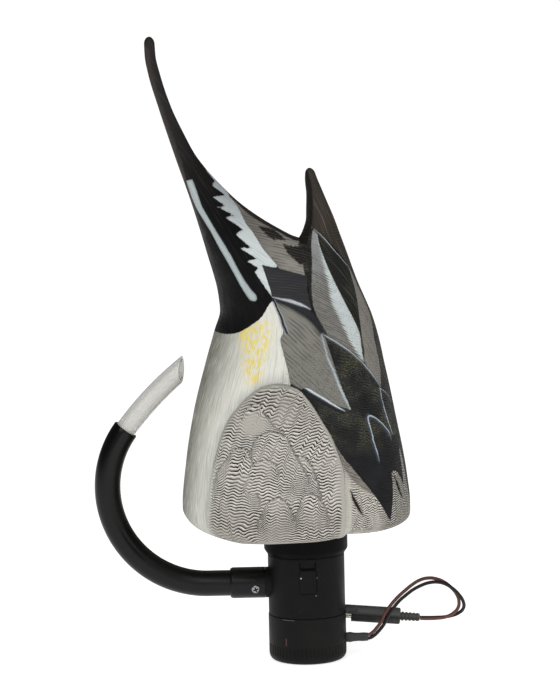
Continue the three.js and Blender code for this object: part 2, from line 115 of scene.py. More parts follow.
class NodeKit:
    """Short ways to add and link the nodes of one tree."""

    def __init__(self, tree: Tree) -> None:
        """Keep the tree."""
        self.tree = tree

    def add(self, kind: str, **settings: object) -> Node:
        """Add a node.

        Args:
            kind: The node's type name.
            **settings: Properties of the node.

        Returns:
            The new node.
        """
        node = self.tree.nodes.new(kind)
        for name, value in settings.items():
            setattr(node, name, value)
        return node

    def feed(self, socket: Socket, value: Tone | float | Place) -> None:
        """Link a socket to an input, or set its value.

        Args:
            socket: The input.
            value: An output socket, a number, a vector, a linear colour, or a seen colour in hex digits.
        """
        if isinstance(value, Socket):
            self.tree.links.new(value, socket)
        else:
            socket.default_value = paint(value) if isinstance(value, str) else value

    def math(self, operation: str, first: Socket | float, second: Socket | float = 0.0) -> Socket:
        """Return one math operation on two values.

        Args:
            operation: Its name.
            first: The first value.
            second: The second value.

        Returns:
            The result.
        """
        node = self.add("ShaderNodeMath", operation=operation)
        self.feed(node.inputs[0], first)
        self.feed(node.inputs[1], second)
        return node.outputs[0]

    def step(self, value: Socket, low: float, high: float, start: float = 0.0, end: float = 1.0) -> Socket:
        """Return a smooth step between two values.

        Args:
            value: What is tested.
            low: Where the step starts.
            high: Where it ends.
            start: The result below low.
            end: The result above high.

        Returns:
            The stepped value.
        """
        node = self.add("ShaderNodeMapRange", interpolation_type="SMOOTHSTEP")
        for name, number in (("From Min", low), ("From Max", high), ("To Min", start), ("To Max", end)):
            node.inputs[name].default_value = number
        self.feed(node.inputs["Value"], value)
        return node.outputs["Result"]

    def band(self, value: Socket, low: float, high: float, soft: float) -> Socket:
        """Return a mask that is one between two values, with soft ends.

        Args:
            value: What is tested.
            low: Where the band starts.
            high: Where it ends.
            soft: How far each end is softened.

        Returns:
            The mask.
        """
        rise = self.step(value, low - soft, low + soft)
        fall = self.step(value, high - soft, high + soft, 1.0, 0.0)
        return self.math("MULTIPLY", rise, fall)

    def both(self, first: Socket | float, second: Socket | float) -> Socket:
        """Return the product of two masks."""
        return self.math("MULTIPLY", first, second)

    def rest(self, mask: Socket) -> Socket:
        """Return what a mask leaves."""
        return self.math("SUBTRACT", 1.0, mask)

    def parts(self, vector: Socket) -> Sequence[Socket]:
        """Split a vector.

        Args:
            vector: The vector.

        Returns:
            Its three parts.
        """
        node = self.add("ShaderNodeSeparateXYZ")
        self.feed(node.inputs[0], vector)
        return node.outputs

    def mix(self, share: Socket | float, under: Tone, over: Tone) -> Socket:
        """Return a colour laid over another by a share.

        Args:
            share: How much of the upper colour shows.
            under: The lower colour.
            over: The upper colour.

        Returns:
            The mixed colour.
        """
        node = self.add("ShaderNodeMix", data_type="RGBA")
        self.feed(node.inputs[0], share)
        self.feed(node.inputs[6], under)
        self.feed(node.inputs[7], over)
        return node.outputs[2]

    def attribute(self, name: str, output: str = "Fac") -> Socket:
        """Return a value stored on the mesh."""
        return self.add("ShaderNodeAttribute", attribute_name=name).outputs[output]

    def place(self) -> Socket:
        """Return the position on the object, in metres."""
        return self.add("ShaderNodeTexCoord").outputs["Object"]

    def stretch(self, vector: Socket, scale: Place) -> Socket:
        """Return a vector scaled by its own factor along each axis.

        Args:
            vector: The vector.
            scale: A factor for each axis.

        Returns:
            The scaled vector.
        """
        node = self.add("ShaderNodeVectorMath", operation="MULTIPLY")
        self.feed(node.inputs[0], vector)
        self.feed(node.inputs[1], scale)
        return node.outputs[0]

    def noise(self, vector: Socket, scale: Socket | float, detail: float = 2.0) -> Socket:
        """Return a smooth noise value.

        Args:
            vector: Where it is read.
            scale: Its frequency.
            detail: How many finer layers it has.

        Returns:
            The noise, about 0 to 1.
        """
        node = self.add("ShaderNodeTexNoise")
        self.feed(node.inputs["Vector"], vector)
        self.feed(node.inputs["Scale"], scale)
        node.inputs["Detail"].default_value = detail
        return node.outputs["Fac"]

    def bump(self, height: Socket, strength: float, distance: float, normal: Socket | None = None) -> Socket:
        """Return a normal that is tilted by a height.

        Args:
            height: The height, in the unit that distance gives in metres.
            strength: How much of it is used.
            distance: How high a height of one stands, in metres.
            normal: A normal to start from.

        Returns:
            The new normal.
        """
        node = self.add("ShaderNodeBump")
        node.inputs["Strength"].default_value = strength
        node.inputs["Distance"].default_value = distance
        self.feed(node.inputs["Height"], height)
        if normal is not None:
            self.feed(node.inputs["Normal"], normal)
        return node.outputs["Normal"]

    def effect(self, group: Tree, **inputs: object) -> Node:
        """Place a shared effect.

        Args:
            group: The effect's node group.
            **inputs: Its inputs, by name.

        Returns:
            The group node.
        """
        node = self.add("ShaderNodeGroup", node_tree=group)
        for name, value in inputs.items():
            self.feed(node.inputs[name], value)
        return node


def new_effect(name: str, inputs: dict[str, str], outputs: Sequence[str]) -> tuple[Tree, NodeKit, dict]:
    """Start a shared effect with named inputs and outputs.

    Args:
        name: The group's name.
        inputs: Socket type by input name.
        outputs: Names of its outputs, which are all plain values.

    Returns:
        The group, a kit for its nodes, and its input sockets with an "out" entry for the output node.
    """
    tree = bpy.data.node_groups.new(name, "ShaderNodeTree")
    for label, kind in inputs.items():
        tree.interface.new_socket(name=label, in_out="INPUT", socket_type=kind)
    for label in outputs:
        tree.interface.new_socket(name=label, in_out="OUTPUT", socket_type="NodeSocketFloat")
    kit = NodeKit(tree)
    sockets = {s.name: s for s in kit.add("NodeGroupInput").outputs}
    sockets["out"] = kit.add("NodeGroupOutput")
    return tree, kit, sockets


class Effects:
    """Effects that several materials share, each built once."""

    def __init__(self) -> None:
        """Build every effect."""
        self.barbs = self._barbs()
        self.ripples = self._ripples()
        self.grain = self._grain()

    def _barbs(self) -> Tree:
        """Return fine carved and painted lines along a feather's barbs.

        Returns:
            The node group.
        """
        tree, kit, port = new_effect(
            "Feather barbs",
            {"Barbs": "NodeSocketVector", "Pitch": "NodeSocketFloat", "Length": "NodeSocketFloat"},
            ("Shade", "Height", "Lines"),
        )
        barbs = kit.parts(port["Barbs"])
        along = kit.math("DIVIDE", barbs[0], port["Length"])
        across = kit.math("DIVIDE", barbs[1], port["Pitch"])
        lines = kit.add("ShaderNodeCombineXYZ")
        kit.feed(lines.inputs[0], along)
        kit.feed(lines.inputs[1], across)
        fine = kit.noise(lines.outputs[0], 1.0, 1.0)
        coarse = kit.noise(kit.stretch(lines.outputs[0], (0.6, 0.28, 1.0)), 1.0, 1.0)
        shade = kit.both(kit.step(fine, 0.48, 0.72), kit.step(coarse, 0.35, 0.62))
        kit.feed(port["out"].inputs["Shade"], shade)
        kit.feed(port["out"].inputs["Height"], fine)
        bend = kit.both(kit.noise(kit.stretch(lines.outputs[0], (0.9, 0.12, 1.0)), 1.0, 1.0), 9.0)
        wave = kit.math("SINE", kit.math("ADD", kit.both(across, 2 * math.pi), bend))
        broken = kit.step(kit.noise(kit.stretch(lines.outputs[0], (1.4, 0.5, 1.0)), 1.0, 1.0), 0.34, 0.6)
        kit.feed(port["out"].inputs["Lines"], kit.both(kit.step(wave, 0.1, 0.95), broken))
        return tree

    def _ripples(self) -> Tree:
        """Return dark grooves, partly paint and partly painted shade, and a painted highlight on the upper
        side of each ridge, drawn from the ripple height that the mesh carries.

        Returns:
            The node group.
        """
        tree, kit, port = new_effect(
            "Carved ripples",
            {"Phase": "NodeSocketFloat", "Pitch": "NodeSocketFloat", "Place": "NodeSocketVector"},
            ("Groove", "Highlight", "Height"),
        )
        turn = kit.both(kit.math("DIVIDE", port["Phase"], port["Pitch"]), 2 * math.pi)
        wave = kit.math("COSINE", turn)
        uneven = kit.noise(port["Place"], 260.0, 2.0)
        lifted = kit.math("ADD", wave, kit.both(kit.math("SUBTRACT", uneven, 0.5), 1.3))
        patchy = kit.step(kit.noise(port["Place"], 60.0, 1.0), 0.3, 0.62, 0.45, 1.0)
        # Dark grooves: partly the carving's paint, partly painted shade in the grooves.
        groove = kit.both(kit.step(lifted, 0.03, -0.74), patchy)
        kit.feed(port["out"].inputs["Groove"], groove)
        # Painted highlight on the upper, light-facing side of each ridge.
        lit = kit.both(kit.step(kit.math("SINE", turn), -0.05, 0.75), patchy)
        kit.feed(port["out"].inputs["Highlight"], kit.both(lit, kit.rest(groove)))
        kit.feed(port["out"].inputs["Height"], kit.math("ADD", kit.both(wave, 0.5), 0.5))
        return tree

    def _grain(self) -> Tree:
        """Return the fine grain and faint scuffs of handled moulded plastic.

        Returns:
            The node group.
        """
        tree, kit, port = new_effect(
            "Moulded grain",
            {"Place": "NodeSocketVector", "Fineness": "NodeSocketFloat", "Scuffs": "NodeSocketFloat"},
            ("Height", "Scuff", "Tone"),
        )
        kit.feed(port["out"].inputs["Height"], kit.noise(port["Place"], port["Fineness"], 3.0))
        long_marks = kit.noise(kit.stretch(port["Place"], (500.0, 500.0, 120.0)), 1.0, 3.0)
        where = kit.step(kit.noise(port["Place"], 45.0, 2.0), 0.5, 0.72)
        marks = kit.both(kit.step(long_marks, 0.62, 0.74), where)
        kit.feed(port["out"].inputs["Scuff"], kit.both(marks, port["Scuffs"]))
        kit.feed(port["out"].inputs["Tone"], kit.noise(port["Place"], 30.0, 2.0))
        return tree


def new_material(name: str) -> tuple[Material, NodeKit, Node]:
    """Make an empty material with a Principled shader.

    Args:
        name: The material's name.

    Returns:
        The material, a kit for its nodes, and the shader node.
    """
    material = bpy.data.materials.new(name)
    material.use_nodes = True
    kit = NodeKit(material.node_tree)
    shader = next(n for n in material.node_tree.nodes if n.type == "BSDF_PRINCIPLED")
    return material, kit, shader


@dataclass(frozen=True)
class MouldedFinish:
    """Black moulded plastic or rubber, with grain, faint scuffs and dust."""

    name: str
    colour: str
    worn: str
    roughness: float = 0.45
    grain: float = 0.1
    scuffs: float = 0.5
    fineness: float = 1400.0
    specular: float = 0.5

    def tone(self, kit: NodeKit) -> Tone:
        """Return the clean plastic's colour."""
        return self.colour

    def material(self, effects: Effects) -> Material:
        """Build the finish.

        Args:
            effects: The shared effects.

        Returns:
            The material.
        """
        material, kit, shader = new_material(self.name)
        grain = kit.effect(effects.grain, Place=kit.place(), Fineness=self.fineness, Scuffs=self.scuffs)
        share = kit.math("ADD", grain.outputs["Scuff"], kit.step(grain.outputs["Tone"], 0.35, 0.7, 0.0, 0.18))
        kit.feed(shader.inputs["Base Color"], kit.mix(share, self.tone(kit), self.worn))
        rough = kit.step(grain.outputs["Tone"], 0.3, 0.7, self.roughness - 0.05, self.roughness + 0.07)
        kit.feed(shader.inputs["Roughness"], rough)
        kit.feed(shader.inputs["Normal"], kit.bump(grain.outputs["Height"], self.grain, 0.0004))
        shader.inputs["Specular IOR Level"].default_value = self.specular
        return material


@dataclass(frozen=True)
class LaneShadeFinish(MouldedFinish):
    """Moulded rubber with painted shade on its lower lane, split along a sloping line."""

    # The colour of the painted shade on the lower lane.
    lower: str = "161616"
    split: float = 33.0
    slope: float = -0.087
    start: float = 30.6

    def tone(self, kit: NodeKit) -> Socket:
        """Return the rubber's colour, with painted shade below the split.

        Args:
            kit: The material's nodes.

        Returns:
            The colour.
        """
        parts = kit.parts(kit.place())
        x, z = (kit.math("DIVIDE", parts[i], MM) for i in (0, 2))
        height = kit.math("SUBTRACT", z, self.split)
        line = kit.math("SUBTRACT", height, kit.both(kit.math("SUBTRACT", x, self.start), self.slope))
        return kit.mix(kit.step(line, -1.0, 1.6), self.lower, self.colour)


@dataclass(frozen=True)
class MetalFinish:
    """Bright metal with fine turning marks."""

    name: str
    colour: Colour
    roughness: float

    def material(self, effects: Effects) -> Material:
        """Build the finish.

        Args:
            effects: The shared effects.

        Returns:
            The material.
        """
        material, kit, shader = new_material(self.name)
        grain = kit.effect(effects.grain, Place=kit.place(), Fineness=2500.0, Scuffs=1.0)
        dull = tuple(0.55 * c for c in self.colour[:3]) + (1.0,)
        kit.feed(shader.inputs["Base Color"], kit.mix(grain.outputs["Tone"], self.colour, dull))
        shader.inputs["Metallic"].default_value = 1.0
        rough = kit.step(grain.outputs["Height"], 0.3, 0.7, self.roughness - 0.06, self.roughness + 0.1)
        kit.feed(shader.inputs["Roughness"], rough)
        return material


@dataclass(frozen=True)
class ClearFinish:
    """Clear vinyl tube, slightly cloudy."""

    name: str = "Clear vinyl"
    colour: Colour = (0.86, 0.85, 0.81, 1.0)
    roughness: float = 0.3

    def material(self, effects: Effects) -> Material:
        """Build the finish.

        Args:
            effects: The shared effects.

        Returns:
            The material.
        """
        material, kit, shader = new_material(self.name)
        grain = kit.effect(effects.grain, Place=kit.place(), Fineness=320.0, Scuffs=1.0)
        shader.inputs["Base Color"].default_value = self.colour
        rough = kit.step(grain.outputs["Tone"], 0.3, 0.7, self.roughness - 0.04, self.roughness + 0.08)
        kit.feed(shader.inputs["Roughness"], rough)
        kit.feed(shader.inputs["Normal"], kit.bump(grain.outputs["Height"], 0.06, 0.0006))
        shader.inputs["Transmission Weight"].default_value = 0.5
        shader.inputs["IOR"].default_value = 1.35
        return material


# The connector's rubber, with painted shade on its lower lane.
CONNECTOR_RUBBER = LaneShadeFinish("Moulded rubber", "484848", "62605d", 0.5, 0.2, 0.6, 900.0, 0.3)
BRIGHT_CONTACT = MetalFinish("Bright contact", (0.78, 0.7, 0.5, 1.0), 0.25)
RED_INSULATION = MouldedFinish("Red brown insulation", "562d26", "72443a", 0.35, 0.05)
BLACK_INSULATION = MouldedFinish("Black insulation", "0f0e0e", "2c2826", 0.35, 0.05, specular=0.3)
SEAL_RUBBER = MouldedFinish("Seal rubber", "222223", "505050", 0.42, 0.15, 0.7, 900.0)
# Black plastic darkened as painted shade: the collar in the shade under the body, and the plates in the
# screw's recess.
SHADED_BLACK_PLASTIC = MouldedFinish("Black plastic with painted shade", "090909", "1e1d1d", 0.5, 0.1, 0.3, specular=0.06)
PUMP_PLASTIC = MouldedFinish("Black pump plastic", "121212", "262524", 0.45, 0.1, 0.35, specular=0.1)
CAP_PLASTIC = MouldedFinish("Black cap plastic", "111111", "2a2927", 0.48, 0.12, 0.4, specular=0.13)
# Painted highlights: the light patches that stand for glints on the pump and a highlight along the cap's
# seam.
PAINTED_GLINT = MouldedFinish("Painted glint", "babab8", "cececc", 0.4, 0.1, 0.3)
PAINTED_DIM_HIGHLIGHT = MouldedFinish("Painted dim highlight", "545351", "6e6d6b", 0.4, 0.1, 0.3)
DULL_RED = MouldedFinish("Dull red mark", "421c1f", "2e1d1e", 0.5, 0.1, 0.8)
SLEEVE_RUBBER = MouldedFinish("Sleeve rubber", "040404", "1e1e1f", 0.3, 0.12, 0.3, specular=0.26)
BRIGHT_STEEL = MetalFinish("Bright steel", (0.42, 0.42, 0.43, 1.0), 0.3)
HOSE_VINYL = MouldedFinish("Black vinyl hose", "040404", "1e1e1f", 0.3, 0.1, 0.3, specular=0.26)


# Shapes that several pieces share


class HeightCurve:
    """A smooth function of height through chosen points, which never overshoots them."""

    def __init__(self, *points: Point) -> None:
        """Work out the slopes.

        Args:
            *points: Pairs of height and value, in millimetres, from low to high.
        """
        table = np.array(points, float)
        self.heights, self.values = table[:, 0], table[:, 1]
        self.steps = np.diff(self.heights)
        rise = np.diff(self.values) / self.steps
        self.slopes = np.zeros(len(points))
        self.slopes[0], self.slopes[-1] = rise[0], rise[-1]
        for i in range(1, len(points) - 1):
            if rise[i - 1] * rise[i] > 0:
                after = 2 * self.steps[i] + self.steps[i - 1]
                before = self.steps[i] + 2 * self.steps[i - 1]
                self.slopes[i] = (after + before) / (after / rise[i - 1] + before / rise[i])

    def __call__(self, height: Array) -> Array:
        """Return the value at each height.

        Args:
            height: The heights, in millimetres.

        Returns:
            One value for each height.
        """
        z = np.clip(height, self.heights[0], self.heights[-1])
        i = np.clip(np.searchsorted(self.heights, z) - 1, 0, len(self.steps) - 1)
        s = (z - self.heights[i]) / self.steps[i]
        return (
            self.values[i] * (1 + 2 * s) * (1 - s) ** 2
            + self.slopes[i] * self.steps[i] * s * (1 - s) ** 2
            + self.values[i + 1] * s * s * (3 - 2 * s)
            + self.slopes[i + 1] * self.steps[i] * s * s * (s - 1)
        )


def smooth_step(value: Array, low: float, high: float) -> Array:
    """Return a smooth step from 0 at low to 1 at high."""
    t = np.clip((value - low) / (high - low), 0, 1)
    return t * t * (3 - 2 * t)


class ValueNoise:
    """Smooth noise on a plane, the same on every run."""

    def __init__(self, seed: int) -> None:
        """Draw the lattice values."""
        self.size = 64
        self.lattice = np.random.default_rng(seed).random((self.size, self.size))

    def __call__(self, x: Array, y: Array) -> Array:
        """Return noise from 0 to 1 at points whose unit is one lattice cell.

        Args:
            x: Their places across.
            y: Their places up.

        Returns:
            One value for each point.
        """
        column, row = np.floor(x).astype(int), np.floor(y).astype(int)
        s, t = smooth_step(x - column, 0, 1), smooth_step(y - row, 0, 1)

        def corner(dx: int, dy: int) -> Array:
            """Return the lattice value at a corner of each cell."""
            return self.lattice[(row + dy) % self.size, (column + dx) % self.size]

        low = corner(0, 0) * (1 - s) + corner(1, 0) * s
        high = corner(0, 1) * (1 - s) + corner(1, 1) * s
        return low * (1 - t) + high * t


def linked(name: str, data: bpy.types.ID) -> Piece:
    """Make an object and link it to the scene.

    Args:
        name: Its name.
        data: Its mesh, curve, light or camera.

    Returns:
        The object.
    """
    piece = bpy.data.objects.new(name, data)
    bpy.context.scene.collection.objects.link(piece)
    return piece


def new_mesh(name: str, points: Array, faces: Sequence[Sequence[int]], crease: float = 40.0) -> Piece:
    """Make a smooth shaded mesh piece from points in millimetres.

    Args:
        name: The piece's name.
        points: One row for each point.
        faces: Point numbers of each face.
        crease: Edges sharper than this many degrees stay sharp.

    Returns:
        The new object, linked to the scene.
    """
    mesh = bpy.data.meshes.new(name)
    mesh.from_pydata((np.asarray(points) * MM).tolist(), [], faces)
    mesh.validate()
    mesh.shade_smooth()
    mesh.set_sharp_from_angle(angle=math.radians(crease))
    return linked(name, mesh)


def between(low: Sequence[int], high: Sequence[int]) -> list[Face]:
    """Return the faces between two closed rings of points, the lower one first."""
    count = len(low)
    return [(low[j], low[(j + 1) % count], high[(j + 1) % count], high[j]) for j in range(count)]


def grid_faces(rows: int, columns: int, loop_rows: bool = False) -> list[Face]:
    """Return the faces between rings of points, each ring closed on itself.

    Args:
        rows: How many rings there are.
        columns: How many points each ring has.
        loop_rows: Whether the last ring joins the first.

    Returns:
        Quads, facing out where rings run counter-clockwise as seen from the last ring.
    """
    rings = [range(r * columns, (r + 1) * columns) for r in range(rows)]
    ahead = rings[1:] + rings[:1] if loop_rows else rings[1:]
    return [face for low, high in zip(rings, ahead) for face in between(low, high)]


def capped_loft(name: str, rings: Array, crease: float = 40.0) -> Piece:
    """Make a closed piece through rings of points, with a face over each end.

    Args:
        name: The piece's name.
        rings: Rings by points by three numbers, in millimetres.
        crease: Edges sharper than this many degrees stay sharp.

    Returns:
        The new object.
    """
    rows, columns, _ = rings.shape
    hubs = np.array([rings[0].mean(axis=0), rings[-1].mean(axis=0)])
    points = np.concatenate([rings.reshape(-1, 3), hubs])
    first, last = rows * columns, rows * columns + 1
    faces = grid_faces(rows, columns)
    top = (rows - 1) * columns
    for j in range(columns):
        k = (j + 1) % columns
        faces.append((first, k, j))
        faces.append((last, top + j, top + k))
    return new_mesh(name, points, faces, crease)


def filleted(corners: Sequence[tuple[float, ...]], steps: int = 5) -> list[Point]:
    """Round the corners of a profile.

    Args:
        corners: Radius and height of each corner, and the size of its rounding if it has one.
        steps: Points on each rounding.

    Returns:
        The profile's points.
    """
    profile: list[Point] = []
    for i, corner in enumerate(corners):
        here = np.array(corner[:2])
        if len(corner) < 3 or i in (0, len(corners) - 1):
            profile.append(tuple(here))
            continue
        back = np.array(corners[i - 1][:2]) - here
        ahead = np.array(corners[i + 1][:2]) - here
        start = here + back / np.linalg.norm(back) * corner[2]
        end = here + ahead / np.linalg.norm(ahead) * corner[2]
        for t in np.linspace(0, 1, steps):
            profile.append(tuple(start * (1 - t) ** 2 + here * 2 * t * (1 - t) + end * t**2))
    return profile


def turned_rings(profile: Sequence[Point], angles: Array) -> Array:
    """Turn a profile of radius and height round the +Z axis.

    Args:
        profile: The profile, from its low end to its high end.
        angles: The angles of the columns, in radians.

    Returns:
        Rings by points by three numbers.
    """
    table = np.array(profile)
    radius, height = table[:, :1], table[:, 1:]
    x, y = radius * np.cos(angles), radius * np.sin(angles)
    return np.stack([x, y, np.broadcast_to(height, x.shape)], axis=-1)


def even_angles(columns: int) -> Array:
    """Return evenly spaced angles round a circle."""
    return np.arange(columns) * 2 * math.pi / columns


def moved(rings: Array, matrix: Matrix) -> Array:
    """Return points moved by a matrix whose shift is in millimetres."""
    turn = np.array(matrix.to_3x3())
    return rings @ turn.T + np.array(matrix.translation)


def combined(name: str, first: Piece, second: Piece, how: Join) -> Piece:
    """Join or cut two closed pieces into one.

    Args:
        name: The result's name.
        first: The piece that is kept.
        second: The piece that is joined to it or cut from it.
        how: Whether the second is joined or cut away.

    Returns:
        The result, which takes the place of both.
    """
    modifier = first.modifiers.new("join", "BOOLEAN")
    modifier.operation = how.value
    modifier.solver = "EXACT"
    modifier.object = second
    graph = bpy.context.evaluated_depsgraph_get()
    mesh = bpy.data.meshes.new_from_object(first.evaluated_get(graph))
    bpy.data.objects.remove(first)
    bpy.data.objects.remove(second)
    mesh.shade_smooth()
    mesh.set_sharp_from_angle(angle=math.radians(35))
    mesh.name = name
    return linked(name, mesh)


def dress(piece: Piece, slot: Slot, material: Material, *nodes: str) -> Piece:
    """Give a piece its material and its body, and hide the solid nodes that it stands for.

    Args:
        piece: The piece.
        slot: Its material slot; not used.
        material: Its material.
        *nodes: The solid nodes that it replaces.

    Returns:
        The piece.
    """
    piece.data.materials.clear()
    piece.data.materials.append(material)
    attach(piece, "root")
    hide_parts(*nodes)
    return piece


# The painted body


def signed_distance(points: Array, outline: Sequence[Point]) -> Array:
    """Measure how far points lie inside a closed outline.

    Args:
        points: One row for each point.
        outline: The outline's corners.

    Returns:
        Millimetres, positive inside and negative outside.
    """
    corners = np.array(outline, float)
    nearest = np.full(len(points), np.inf)
    inside = np.zeros(len(points), bool)
    for start, end in zip(corners, np.roll(corners, -1, axis=0)):
        edge = end - start
        offset = points - start
        along = np.clip(offset @ edge / (edge @ edge), 0, 1)
        nearest = np.minimum(nearest, np.hypot(*(offset - along[:, None] * edge).T))
        spans = (start[1] > points[:, 1]) != (end[1] > points[:, 1])
        crossing = start[0] + (points[:, 1] - start[1]) * edge[0] / (edge[1] if edge[1] else 1e-9)
        inside ^= spans & (points[:, 0] < crossing)
    return np.where(inside, nearest, -nearest)


def softened(outline: Sequence[Point]) -> list[Point]:
    """Cut the corners of an outline once, so that it runs in a curve.

    Args:
        outline: The outline's corners.

    Returns:
        Its new corners, twice as many.
    """
    corners = np.array(outline, float)
    ahead = np.roll(corners, -1, axis=0)
    pairs = np.stack([corners * 0.75 + ahead * 0.25, corners * 0.25 + ahead * 0.75], axis=1)
    return [tuple(p) for p in pairs.reshape(-1, 2)]


@dataclass(frozen=True)
class Area:
    """One painted area: its outline on a chart, its relief, and how its barbs run."""

    name: str
    outline: Sequence[Point]
    chart: Chart = Chart.BELLY
    lift: float = 0.0
    edge: float = 0.6
    barbs: float | None = None
    fan: Point | None = None
    curved: bool = True


